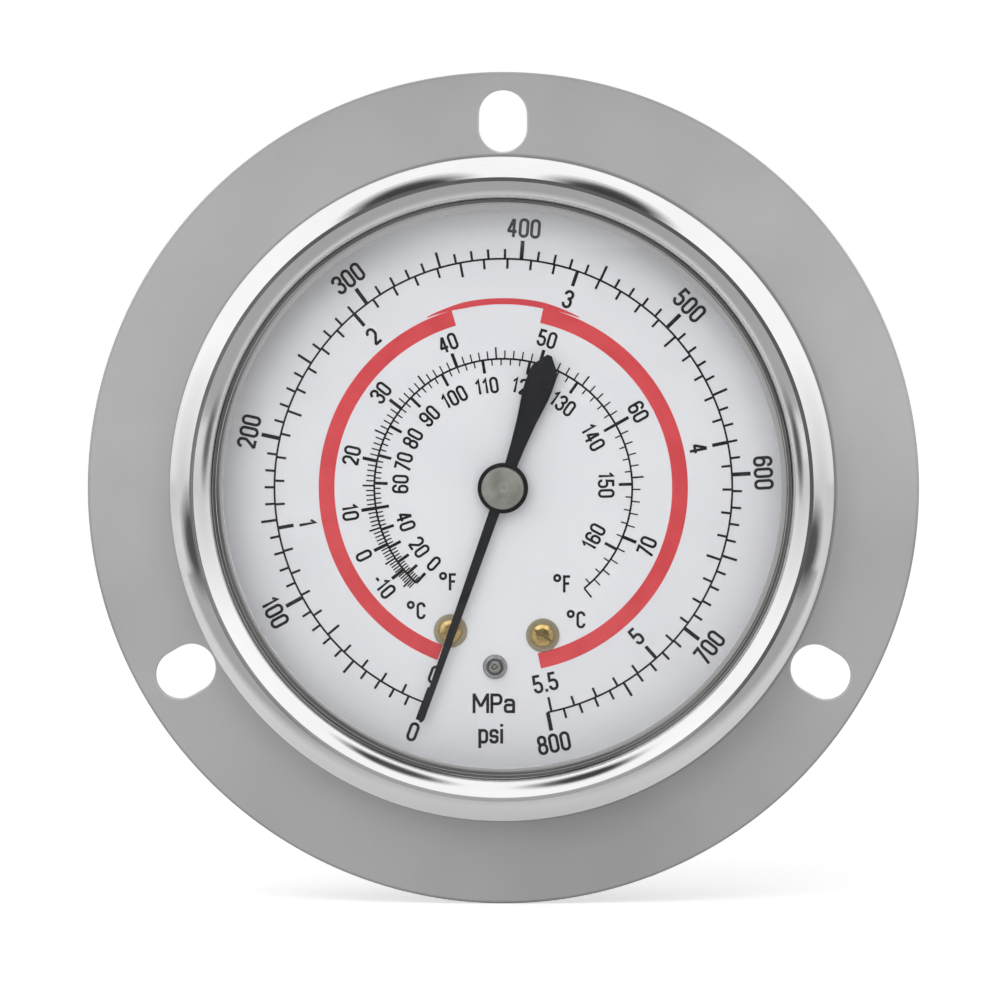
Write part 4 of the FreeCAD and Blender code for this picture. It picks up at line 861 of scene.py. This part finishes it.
LETTERS = {
    "0": (1.0, [loop(0, 0, 1, 1)]),
    "1": (0.6, [[(0, 0.76), (0.75, 1), (0.75, 0)]]),
    "2": (1.0, [[(0, 0.75), (0, 1, ROUND), (1, 1, ROUND), (1, 0.56, 0.2), (0, 0)],
                [(0, 0.01), (1.05, 0.01)]]),
    "3": (1.0, [[(0, 0.75), (0, 1, ROUND), (1, 1, ROUND), (1, 0.54, ROUND), (0.4, 0.54)],
                [(0.4, 0.54), (1, 0.54, ROUND), (1, 0, ROUND), (0, 0, ROUND), (0, 0.25)]]),
    "4": (1.05, [[(0.72, FOOT), (0.72, 1)], [(0.66, 1), (0.02, 0.26)], [(-0.08, 0.26), (1.1, 0.26)]]),
    "5": (1.0, [[(0.95, 1), (0.1, 1), (0.04, 0.56), (1, 0.6, ROUND), (1, 0, ROUND), (0, 0, ROUND),
                 (0, 0.25)]]),
    "6": (1.0, [[(1, 0.75), (1, 1, ROUND), (0, 1, ROUND), (0, 0.3)], loop(0, 0, 1, 0.58)]),
    "7": (0.95, [[(0, 1), (1, 1), (0.3, FOOT)]]),
    "8": (1.0, [loop(0, 0, 1, 0.54), loop(0.05, 0.54, 0.95, 1, 0.42)]),
    "9": (1.0, [[(0, 0.25), (0, 0, ROUND), (1, 0, ROUND), (1, 0.7)], loop(0, 0.42, 1, 1)]),
    "-": (0.6, [[(0, 0.48), (1, 0.48)]]),
    ".": (0.1, [[(0.5, FOOT), (0.5, 0.1)]]),
    "°": (0.95, [loop(0, 0.7, 0.9, TOP, 0.4)]),
    "C": (1.0, [[(1, 0.75), (1, 1, ROUND), (0, 1, ROUND), (0, 0, ROUND), (1, 0, ROUND), (1, 0.25)]]),
    "F": (0.9, [[(0, FOOT), (0, 1), (1, 1)], [(0, 0.52), (0.85, 0.52)]]),
    "M": (1.85, [[(0, FOOT), (0, TOP)], [(0.03, 1), (0.5, 0.3)], [(0.5, 0.3), (0.97, 1)],
                 [(1, TOP), (1, FOOT)]]),
    "P": (1.25, [[(0, FOOT), (0, 1), (1, 1, ROUND), (1, 0.47, ROUND), (0, 0.47)]]),
    "a": (1.15, [[(0.05, 0.52), (0.05, 0.7, 0.25), (1, 0.7, 0.4), (1, FOOT)], loop(0, 0, 1, 0.4, 0.3)]),
    "p": (0.95, [[(0, -0.36), (0, 0.79)], loop(0, 0, 1, 0.7, 0.4)]),
    "s": (0.85, [[(1, 0.5), (1, 0.7, 0.3), (0, 0.7, 0.3), (0, 0.36, 0.2), (1, 0.34, 0.2), (1, 0, 0.3),
                  (0, 0, 0.3), (0, 0.2)]]),
    "i": (0.1, [[(0.5, FOOT), (0.5, 0.79)], [(0.5, 0.92), (0.5, TOP)]]),
}
OVERPRINT = 0.002
LETTER_STROKE = 0.15
LETTER_WIDTH = 0.375
LETTER_GAP = 0.21


def write(text, height, middle, turn=0.0):
    """Printed text with its middle at a place on the dial, turned clockwise."""
    stroke = LETTER_STROKE * height
    tall = height - stroke
    widths = [LETTERS[letter][0] * LETTER_WIDTH * height for letter in text]
    start = -(sum(widths) + LETTER_GAP * height * (len(text) - 1)) / 2
    tilt = Matrix.Rotation(-math.radians(turn), 2)
    strips = []
    for letter, wide in zip(text, widths):
        for layer, corners in enumerate(LETTERS[letter][1]):
            scaled = [(corner[0] * wide, (corner[1] - 0.5) * tall,
                       *(rounding * LETTER_WIDTH * height for rounding in corner[2:]))
                      for corner in corners]
            path = [Vector(middle) + tilt @ (Vector((start, 0)) + Vector(point[:2]))
                    for point in rounded(scaled, 4)]
            front = PRINT_DEPTH - OVERPRINT * layer
            strips.append(ribbon(path, stroke, closed=len(corners[0]) == 3, front=front))
        start += wide + LETTER_GAP * height
    return gathered(*strips)


def number(text, height, radius, bearing):
    """A number on a scale. It stands on its head below the middle line, so that it reads upright."""
    below = math.cos(math.radians(bearing)) < 0
    return write(text, height, polar(radius, bearing), bearing - (180 if below else 0))


print("ink lies", INK, "mm thick")

# %% [markdown]
# ### Pressure scales
# One arc carries two scales: psi outside and MPa inside. Both start close to the resting pointer and are
# even, so each tick is worked out from its pressure. Every fifth and tenth tick is longer or thicker.

# %% Pressure scales
SCALE_START = 200.3
DEGREES_PER_PSI = 0.4106
PSI_END = 800
DEGREES_PER_MPA = 59.55
MPA_TENTHS = 55
ARC_RADIUS = 23.25
ARC_WIDTH = 0.2


def at_psi(pressure):
    return SCALE_START + DEGREES_PER_PSI * pressure


def at_tenths(tenths):
    """The bearing of a pressure that is given in tenths of a megapascal."""
    return SCALE_START + DEGREES_PER_MPA * tenths / 10


def scale(bearing_of, values, kinds, radius, side, numbers, height, number_radius, label=str):
    """The ticks and numbers of a scale. Its ticks stand outside an arc where side is 1, and inside it
    where side is -1. A kind of tick is (every, length, width), and the first kind that fits is taken."""
    marks = []
    for value in values:
        length, width = next(kind[1:] for kind in kinds if value % kind[0] == 0)
        inner, outer = sorted((radius, radius + side * length))
        marks.append(tick(bearing_of(value), inner, outer, width))
    for value in numbers:
        marks.append(number(label(value), height, number_radius, bearing_of(value)))
    return marks


def psi_scale():
    kinds = ((100, 1.9, 0.40), (50, 1.6, 0.26), (10, 1.0, 0.24))
    return scale(at_psi, range(0, PSI_END + 1, 10), kinds, ARC_RADIUS, 1,
                 range(0, PSI_END + 1, 100), height=2.0, number_radius=26.45)


def mpa_scale():
    kinds = ((10, 1.6, 0.36), (5, 1.5, 0.25), (1, 1.0, 0.24))
    return scale(at_tenths, range(MPA_TENTHS + 1), kinds, ARC_RADIUS, -1,
                 [*range(0, MPA_TENTHS, 10), MPA_TENTHS], height=1.9, number_radius=20.25,
                 label=lambda tenths: f"{tenths / 10:g}")


pressure_marks = [band(ARC_RADIUS, ARC_WIDTH, SCALE_START, at_psi(PSI_END))] + psi_scale() + mpa_scale()
print("marks on the pressure scales:", len(pressure_marks))

# %% [markdown]
# ### Temperature scales
# The inner scales show at which temperature the refrigerant boils at each pressure. Vapour pressure rises
# faster and faster with temperature, as in Antoine's formula, so the marks spread out. Three constants
# put the formula on this dial, and no table of places is needed.

# %% Temperature scales
VAPOUR_RISE = 14.0517
VAPOUR_SLOPE = 2837.08
VAPOUR_SHIFT = 306.57
AIR_PSI = 14.7
CELSIUS_END = 75
TEMPERATURE_RADIUS = 13.1


def at_celsius(degrees):
    return at_psi(math.exp(VAPOUR_RISE - VAPOUR_SLOPE / (degrees + VAPOUR_SHIFT)) - AIR_PSI)


def at_fahrenheit(degrees):
    return at_celsius((degrees - 32) / 1.8)


def celsius_scale():
    kinds = ((10, 1.5, 0.34), (5, 1.2, 0.18), (1, 0.85, 0.14))
    return scale(at_celsius, range(-17, CELSIUS_END + 1), kinds, TEMPERATURE_RADIUS, 1,
                 range(-10, 71, 10), height=1.75, number_radius=15.75)


def fahrenheit_scale():
    kinds = ((10, 1.35, 0.3), (2, 0.65, 0.14))
    return scale(at_fahrenheit, range(0, 167, 2), kinds, TEMPERATURE_RADIUS, -1,
                 [*range(0, 61, 20), *range(70, 161, 10)], height=1.7, number_radius=10.45)


def units():
    return [
        write("MPa", 2.0, (-0.95, -21.9)),
        write("psi", 2.0, (-1.25, -25.0)),
        write("°F", 1.75, (-5.6, -9.55)),
        write("°F", 1.75, (6.0, -9.75)),
        write("°C", 1.75, (-8.85, -12.5)),
        write("°C", 1.75, (7.4, -13.4)),
    ]


temperature_marks = [band(TEMPERATURE_RADIUS, ARC_WIDTH, at_fahrenheit(0), at_celsius(CELSIUS_END))]
temperature_marks += celsius_scale() + fahrenheit_scale() + units()
print("marks on the temperature scales:", len(temperature_marks))

# %% [markdown]
# ### Print on the dial
# All black marks are one piece and the red bands are another, as they would be two passes of a press.
# The solid of the dial is a plain disc, so it keeps its mesh and only gets its enamel. Bearings count on
# past 360 degrees, because the red bands go over the top.

# %% Dial and print
RED_RADIUS = 17.95
RED_WIDTH = 1.6
RED_LEFT = (SCALE_START + 0.6, 343.8)
RED_RIGHT = (372.6, 528.2)
THIN_RADIUS = 18.95
THIN_WIDTH = 0.62
THIN_TOP = (336, 384)
THIN_TAPER = 14


def white_enamel():
    return coated("dial_white_enamel", (0.81, 0.805, 0.85), (0.835, 0.832, 0.87), patch=11.0, grain=0.22,
                  low=0.42, high=0.55, height=0.006)


def print_dial():
    black = gathered(*pressure_marks, *temperature_marks)
    colour = ink("dial_black_ink", grey(0.006), grey(0.013))
    make_piece("dial_print_black", black, colour, "housing")
    red = gathered(
        band(RED_RADIUS, RED_WIDTH, *RED_LEFT),
        band(RED_RADIUS, RED_WIDTH, *RED_RIGHT),
        band(THIN_RADIUS, THIN_WIDTH, *THIN_TOP, taper=THIN_TAPER, front=PRINT_DEPTH),
    )
    colour = ink("dial_red_ink", (0.68, 0.066, 0.078), (0.74, 0.08, 0.092))
    make_piece("dial_print_red", red, colour, "housing")
    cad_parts["dial"].data.materials[0] = white_enamel()


print_dial()

# %% [markdown]
# ## What fixes the dial
# Two small brass screws with washers hold the dial on its posts, and a steel pin stands between the ends
# of the scale, to stop a pointer that runs too far. They are turned pieces, so each is an outline with
# soft edges. The driver slots are cut with a Boolean, as a saw would cut them.

# %% Dial fixings
DIAL_BACK = 1.5
DIAL_TURN = 2.6
SCREW_CIRCLE = 15.5
SCREW_ANGLE = 17.6
WASHER_FRONT = DIAL_FRONT - 0.2
WASHER_RADIUS = 1.7
WASHER_HOLE = 0.82
HEAD_FRONT = WASHER_FRONT - 0.55
HEAD_RADIUS = 1.15
SHANK_RADIUS = 0.8
SHANK_END = 4.5
PIN_CIRCLE = 18.2
PIN_FRONT = -1.2
PIN_RIM = PIN_FRONT + 0.25
PIN_RADIUS = 0.6
PIN_NECK = 0.58
PIN_COLLAR = 1.25
PIN_RIVET = 1.2
PIN_END = 1.75


def slotted(name, finish, outline, steps, cut, places):
    """Turned screws of one outline as a piece. Each place comes with the turn of its driver slot."""
    heads = [turned(outline, place, steps) for place, _ in places]
    screws = make_piece(name, gathered(*heads), finish, "housing")
    cut_with(screws, [cuboid(*cut, turn, place) for place, turn in places])
    return screws


def make_dial_fixings():
    places = [(polar(SCREW_CIRCLE, 180 + DIAL_TURN + side * SCREW_ANGLE), turn)
              for side, turn in ((-1, 34), (1, -20))]
    head = rounded([
        (0, HEAD_FRONT), (0.7, HEAD_FRONT + 0.03, 0.5), (HEAD_RADIUS, HEAD_FRONT + 0.16, 0.1),
        (HEAD_RADIUS, WASHER_FRONT), (SHANK_RADIUS, WASHER_FRONT), (SHANK_RADIUS, SHANK_END),
        (0, SHANK_END),
    ])
    cut = ((-1.4, HEAD_FRONT - 0.4, -0.14), (1.4, HEAD_FRONT + 0.2, 0.14))
    gold = metal("fixing_brass_gold", (0.26, 0.17, 0.06), (0.56, 0.40, 0.17), ring_width=0.3)
    screws = slotted("dial_screw_heads", gold, head, 64, cut, places)
    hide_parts("dial_screws")
    washer = rounded([(WASHER_HOLE, WASHER_FRONT, 0.04), (WASHER_RADIUS, WASHER_FRONT, 0.08),
                      (WASHER_RADIUS, DIAL_FRONT), (WASHER_HOLE, DIAL_FRONT)])
    washers = [turned(washer, place, steps=72) for place, _ in places]
    pale = metal("fixing_brass_pale", (0.26, 0.22, 0.14), (0.48, 0.42, 0.30), low=0.35, high=0.5)
    rings = make_piece("dial_washer_rings", gathered(*washers), pale, "housing")
    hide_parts("dial_washers")


def make_stop_pin():
    outline = rounded([
        (0, PIN_RIM), (0.18, PIN_RIM, 0.04), (0.34, PIN_FRONT, 0.05), (0.42, PIN_FRONT, 0.05),
        (PIN_RADIUS, PIN_RIM, 0.1), (PIN_RADIUS, 0.75), (0.66, 0.75), (0.78, 0.55, 0.08),
        (1.05, 0.55, 0.15), (PIN_COLLAR, 0.85, 0.08), (PIN_COLLAR, DIAL_FRONT), (PIN_NECK, DIAL_FRONT),
        (PIN_NECK, DIAL_BACK), (PIN_RIVET, DIAL_BACK), (PIN_RIVET, PIN_END), (0, PIN_END),
    ])
    pin = turned(outline, polar(PIN_CIRCLE, 180 + DIAL_TURN), steps=64)
    colour = metal("stop_pin_steel", grey(0.22), grey(0.5), ring_width=0.2, low=0.16, high=0.3)
    pin = make_piece("stop_pin_turned", pin, colour, "housing")
    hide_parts("stop_pin")


make_dial_fixings()
make_stop_pin()

# %% [markdown]
# ## Pointer
# The pointer is stamped from thin sheet and painted matt black. Its tail is broad, so that it balances.
# A grey turned hub is riveted through it and pressed on the shaft. Both ride on the body called needle,
# so they turn with the shaft from rest to the end of the scale.

# %% Pointer
POINTER_BEARING = 199.4
POINTER_FRONT = -0.6
POINTER_THICKNESS = 0.4
POINTER_LENGTH = 25.3
DISC_RADIUS = 2.57
DISC_STEP = 0.02
HUB_FRONT = -2.0
HUB_BACK = 0.48
HUB_RADIUS = 2.15
HUB_NECK = 1.08


def matt_black():
    return coated("pointer_matt_black", (0.005, 0.005, 0.006), (0.011, 0.011, 0.013), patch=5.0,
                  grain=0.07, low=0.42, high=0.62, height=0.006, Specular_IOR_Level=0.2)


def turned_grey():
    finish = Finish("hub_turned_grey", Metallic=0.75)
    rings = finish.effect(RINGS, Width=0.16)
    patches = finish.effect(PATCHES, Size=2.2)
    finish.shades(finish.both(rings, patches), (0.20, 0.20, 0.175), (0.36, 0.36, 0.325))
    finish.rough(patches, low=0.34, high=0.5)
    finish.bump(rings, height=0.01)
    return finish.material


def pointer_outline():
    """Half of the pointer from its tip to its tail, then the other half mirrored."""
    half = [(0.0, POINTER_LENGTH), (0.16, POINTER_LENGTH - 0.1), (0.3, POINTER_LENGTH - 0.45), (0.55, 2.2),
            (0.62, -2.2), (0.75, -4.5), (1.0, -7.2), (1.38, -9.8), (1.45, -10.8), (1.45, -12.3),
            (1.30, -12.9), (0.25, -14.3)]
    mirrored = [(-across, up) for across, up in half[:0:-1]]
    return half + mirrored


def make_pointer():
    needle = stamped([pointer_outline()], POINTER_FRONT, POINTER_THICKNESS, edge=0.08)
    disc = stamped([ring_outline(DISC_RADIUS, count=72)], POINTER_FRONT - DISC_STEP,
                   POINTER_THICKNESS + 2 * DISC_STEP, edge=0.08)
    builder = gathered(needle, disc)
    turn = Matrix.Rotation(math.radians(POINTER_BEARING), 4, "Y")
    bmesh.ops.transform(builder, verts=builder.verts, matrix=turn)
    pointer = make_piece("pointer_needle", builder, matt_black(), "needle")
    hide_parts("pointer")


def make_hub():
    seat = POINTER_FRONT - 0.01
    outline = [(0, HUB_FRONT + 0.22), (0.12, HUB_FRONT + 0.2), (0.3, HUB_FRONT + 0.03), (0.42, HUB_FRONT)]
    outline += rounded([(0.5, HUB_FRONT), (HUB_RADIUS, HUB_FRONT, 0.16), (HUB_RADIUS, seat),
                        (HUB_NECK, seat), (HUB_NECK, HUB_BACK), (0, HUB_BACK)])
    hub = make_piece("pointer_hub_turned", turned(outline, steps=96), turned_grey(), "needle")
    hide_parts("pointer_hub")


make_pointer()
make_hub()

# %% [markdown]
# ## Case
# The case is a cup drawn from stainless sheet. Drawing leaves faint lines round it, and it isn't polished
# like the bezel. A rubber plug in the back gives way if the spring tube ever bursts, and three screws
# hold the cup on the socket.

# %% Case
CASE_RADIUS = 31.0
CASE_DEPTH = 25.0
CASE_WALL = 0.6
CASE_FLOOR = CASE_DEPTH - CASE_WALL
CASE_CORNER = 3.0
CASE_SHOULDER = 0.8
CASE_LIP = 33.1
CASE_HOLE = 9.4
VENT_HEIGHT = 22.25
PLUG_FIT = 0.02
PLUG_NECK = 3.98
PLUG_FOOT = 4.6
PLUG_HEAD = 5.2
CASE_SCREW_CIRCLE = 13.5
CASE_SCREW_START = 20.8
CASE_SCREW_SHANK = 1.5
CASE_SCREW_HEAD = 2.5


def make_case():
    lip_front = CRIMP_FRONT - CASE_WALL
    shoulder = NECK_LENGTH + CASE_SHOULDER
    inner_neck, inside = NECK_RADIUS - CASE_WALL, CASE_RADIUS - CASE_WALL
    outline = rounded([
        (inner_neck, lip_front), (CASE_LIP, lip_front, 0.12), (CASE_LIP, CRIMP_FRONT, 0.12),
        (NECK_RADIUS, CRIMP_FRONT), (NECK_RADIUS, NECK_LENGTH, 0.4), (CASE_RADIUS, shoulder, 0.4),
        (CASE_RADIUS, CASE_DEPTH, CASE_CORNER), (CASE_HOLE, CASE_DEPTH, 0.2), (CASE_HOLE, CASE_FLOOR),
        (inside, CASE_FLOOR, CASE_CORNER - CASE_WALL), (inside, shoulder - 0.25),
        (inner_neck, NECK_LENGTH - 0.25),
    ], steps=10)
    steel = metal("case_drawn_steel", grey(0.48), grey(0.66), ring_width=0.5, low=0.24, high=0.32,
                  height=0.006)
    cup = make_piece("case_drawn_cup", turned(outline, steps=216), steel, "housing")
    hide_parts("case_cup")


def rubber():
    return coated("plug_black_rubber", grey(0.018), grey(0.05), patch=4.0, grain=0.16,
                  low=0.55, high=0.8, height=0.02)


def make_plug():
    back = CASE_DEPTH + 1.2
    outline = rounded([
        (0, CASE_FLOOR - 1.6), (PLUG_FOOT, CASE_FLOOR - 1.6, 0.3), (PLUG_FOOT, CASE_FLOOR - PLUG_FIT),
        (PLUG_NECK, CASE_FLOOR - PLUG_FIT), (PLUG_NECK, CASE_DEPTH + PLUG_FIT),
        (PLUG_HEAD, CASE_DEPTH + PLUG_FIT, 0.15), (PLUG_HEAD, back, 0.5), (3.9, back + 0.4, 0.3),
        (3.4, back, 0.2), (1.3, back, 0.2), (1.0, back + 0.35, 0.15), (0, back + 0.35),
    ])
    plug = turned(outline, (0, VENT_HEIGHT), steps=96)
    plug = make_piece("vent_plug_rubber", plug, rubber(), "housing")
    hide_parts("vent_plug")


def make_case_screws():
    seat, crown = CASE_DEPTH + 0.01, CASE_DEPTH + 1.6
    places = [(polar(CASE_SCREW_CIRCLE, bearing), turn)
              for bearing, turn in ((0, 15), (120, 70), (240, -35))]
    outline = rounded([
        (0, CASE_SCREW_START), (CASE_SCREW_SHANK, CASE_SCREW_START), (CASE_SCREW_SHANK, seat),
        (CASE_SCREW_HEAD, seat, 0.1), (CASE_SCREW_HEAD, crown - 0.7, 0.35), (1.7, crown - 0.1, 0.4),
        (0, crown),
    ])
    cut = ((-3, crown - 0.8, -0.3), (3, crown + 0.4, 0.3))
    steel = metal("screw_plated_steel", grey(0.46), grey(0.66), ring_width=0.25, low=0.2, high=0.34)
    heads = slotted("case_screw_heads", steel, outline, 72, cut, places)
    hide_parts("case_screws")


make_case()
make_plug()
make_case_screws()

# %% [markdown]
# ## Socket
# The socket is the gauge's connection, turned and milled from brass. A flange inside the case carries the
# case and the movement. Outside it has a square for the wrench, a relief, a fine thread and a cone that
# seals against the flare of a copper pipe. The thread is modelled as one ridge that winds round its
# core, because its outline shows from the side and no bump would give it.

# %% Socket
INNER_RADIUS = 16.5
INNER_FRONT = 20.3
INNER_BACK = 23.8
COLLAR_RADIUS = 9.3
COLLAR_END = 25.1
BLOCK_HALF = 7.5
BLOCK_FRONT = 11.0
BLOCK_BOTTOM = -25.5
BLOCK_TOP = 8.0
HOLDER_FRONT = 5.4
HOLDER_TOP = -18.9
WRENCH_HALF = 7.0
WRENCH_CORNER = 9.3
WRENCH_END = 33.0
THREAD_START = 34.5
THREAD_END = 46.0
THREAD_RADIUS = 5.556
THREAD_PITCH = 1.27
THREAD_ROOT = THREAD_RADIUS - 0.61 * THREAD_PITCH
STEPS_PER_TURN = 48
RELIEF_RADIUS = 4.7
BORE_RADIUS = 2.4
BORE_START = 37.1
SOCKET_END = 48.056


def wrench_square(depth, thickness, edge):
    """A square with its corners turned off."""
    spread = 45 - math.degrees(math.acos(WRENCH_HALF / WRENCH_CORNER))
    outline = [polar(WRENCH_CORNER, quarter * 90 + 45 + spread * share)
               for quarter in range(4) for share in (-1, -0.33, 0.33, 1)]
    return stamped([outline], depth, thickness, edge)


def thread_ridge():
    """The ridge of a thread, whose height rises and falls over its first and last half turn."""
    ridge = bmesh.new()
    count = int(((THREAD_END - THREAD_START) / THREAD_PITCH - 1) * STEPS_PER_TURN)
    rows = []
    for index in range(count + 1):
        turns = index / STEPS_PER_TURN
        crest = (THREAD_RADIUS - THREAD_ROOT) * min(1.0, turns * 2, (count - index) * 2 / STEPS_PER_TURN)
        section = [(outwards, THREAD_START + THREAD_PITCH * (0.5 + turns + along))
                   for outwards, along in ((-0.05, -0.47), (crest, -0.07), (crest, 0.07), (-0.05, 0.47))]
        rows.append(row_at(ridge, THREAD_ROOT, 360 * turns, section))
    join_rows(ridge, rows, caps=True)
    return ridge


def make_socket():
    inside = turned(rounded([
        (0, INNER_FRONT), (INNER_RADIUS, INNER_FRONT, 0.2), (INNER_RADIUS, INNER_BACK, 0.2),
        (COLLAR_RADIUS, INNER_BACK), (COLLAR_RADIUS, COLLAR_END), (0, COLLAR_END),
    ]))
    block = cuboid((-BLOCK_HALF, BLOCK_FRONT, BLOCK_BOTTOM), (BLOCK_HALF, INNER_FRONT, BLOCK_TOP))
    holder = cuboid((-BLOCK_HALF, HOLDER_FRONT, BLOCK_BOTTOM), (BLOCK_HALF, BLOCK_FRONT, HOLDER_TOP))
    square = wrench_square(COLLAR_END, WRENCH_END - COLLAR_END, edge=0.35)
    nose = turned(rounded([
        (0, WRENCH_END), (RELIEF_RADIUS, WRENCH_END), (RELIEF_RADIUS, THREAD_START - 0.1, 0.1),
        (THREAD_ROOT, THREAD_START + 0.1), (THREAD_ROOT, THREAD_END - 0.55, 0.1),
        (4.9, THREAD_END - 0.1, 0.1), (2.9, SOCKET_END, 0.15), (BORE_RADIUS, SOCKET_END, 0.1),
        (BORE_RADIUS, BORE_START), (0, BORE_START),
    ]), steps=144)
    colour = metal("socket_turned_brass", (0.42, 0.30, 0.12), (0.66, 0.50, 0.25), ring_width=0.22)
    builder = gathered(inside, block, holder, square, nose, thread_ridge())
    socket = make_piece("socket_brass_body", builder, colour, "housing")
    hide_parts("socket")


make_socket()

# %% [markdown]
# ## Movement
# Behind the dial, pressure unbends the spring tube. Its tip pulls a link, the link swings a toothed
# sector, and the sector turns the pointer's pinion, with a hairspring to take up the play. The solids of
# these pieces are good as they are, so they keep their meshes and only get their metals. The tube is
# different: it is drawn as a mesh of its own.

# %% Movement metals
def dress(finish, *names):
    """Gives a finish to solids of the frame that keep their shape."""
    for name in names:
        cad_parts[name].data.materials[0] = finish


def red_fibre():
    finish = Finish("seal_red_fibre")
    grain = finish.effect(GRAIN, Size=0.3)
    finish.shades(grain, (0.16, 0.02, 0.016), (0.34, 0.06, 0.05))
    finish.rough(grain, low=0.7, high=0.9)
    finish.bump(grain, height=0.03)
    return finish.material


def dress_movement():
    stamped_brass = metal("movement_stamped_brass", (0.50, 0.36, 0.14), (0.72, 0.55, 0.28),
                          ring_width=1.2)
    dress(stamped_brass, "dial_posts", "movement_back_plate", "movement_front_plate", "movement_pillars",
          "tube_tip", "link", "sector_gear", "hairspring_collet", "hairspring_stud")
    bright_steel = metal("movement_bright_steel", grey(0.42), grey(0.6), ring_width=0.1)
    dress(bright_steel, "plate_screws", "movement_screws", "tip_link_pin", "sector_link_pin",
          "sector_arbor", "pinion_shaft")
    dress(metal("hairspring_bronze", (0.5, 0.3, 0.12), (0.66, 0.42, 0.2), ring_width=0.3), "hairspring")
    dress(metal("restrictor_brass", (0.5, 0.35, 0.13), (0.7, 0.52, 0.26)), "restrictor_screw")
    dress(rubber(), "window_gasket")
    dress(red_fibre(), "socket_seal")


dress_movement()
print("solids with a finish:", len(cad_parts))

# %% [markdown]
# ### Spring tube
# The tube is drawn to a flat section and then bent round. So its section is set up at bearings along the
# bend, once for the outer skin and once for the bore, and the two skins are joined at both ends.

# %% Spring tube
TUBE_RADIUS = 22.0
TUBE_START = 180.0
TUBE_SWEEP = 224.0
TUBE_DEPTH = 10.0
TUBE_THIN = 3.0
TUBE_BROAD = 8.0
TUBE_WALL = 0.4
TUBE_STEPS = 96


def tube_section(inset):
    """The flattened section as (outwards, depth), with round edges."""
    thin, broad = TUBE_THIN / 2 - inset, TUBE_BROAD / 2 - inset
    points = []
    for side in (1, -1):
        for step in range(9):
            angle = math.radians(-90 + 22.5 * step)
            points.append((side * -math.sin(angle) * thin,
                           TUBE_DEPTH + side * (broad - thin + math.cos(angle) * thin)))
    return points


def make_tube():
    tube = bmesh.new()
    skins = []
    for section in (tube_section(0.0), tube_section(TUBE_WALL)):
        skins.append([row_at(tube, TUBE_RADIUS, TUBE_START + TUBE_SWEEP * index / TUBE_STEPS, section)
                      for index in range(TUBE_STEPS + 1)])
        join_rows(tube, skins[-1])
    for end in (0, -1):
        join_rows(tube, [skin[end] for skin in skins])
    bronze = metal("tube_drawn_bronze", (0.48, 0.26, 0.11), (0.66, 0.4, 0.2), ring_width=0.8)
    piece = make_piece("spring_tube", tube, bronze)
    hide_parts("bourdon_tube")
    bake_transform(piece)


make_tube()

# %% [markdown]
# ## Finish
# The view transform stays plain, so that colours look as they are written.

# %% Finish
bpy.context.scene.view_settings.view_transform = "Standard"
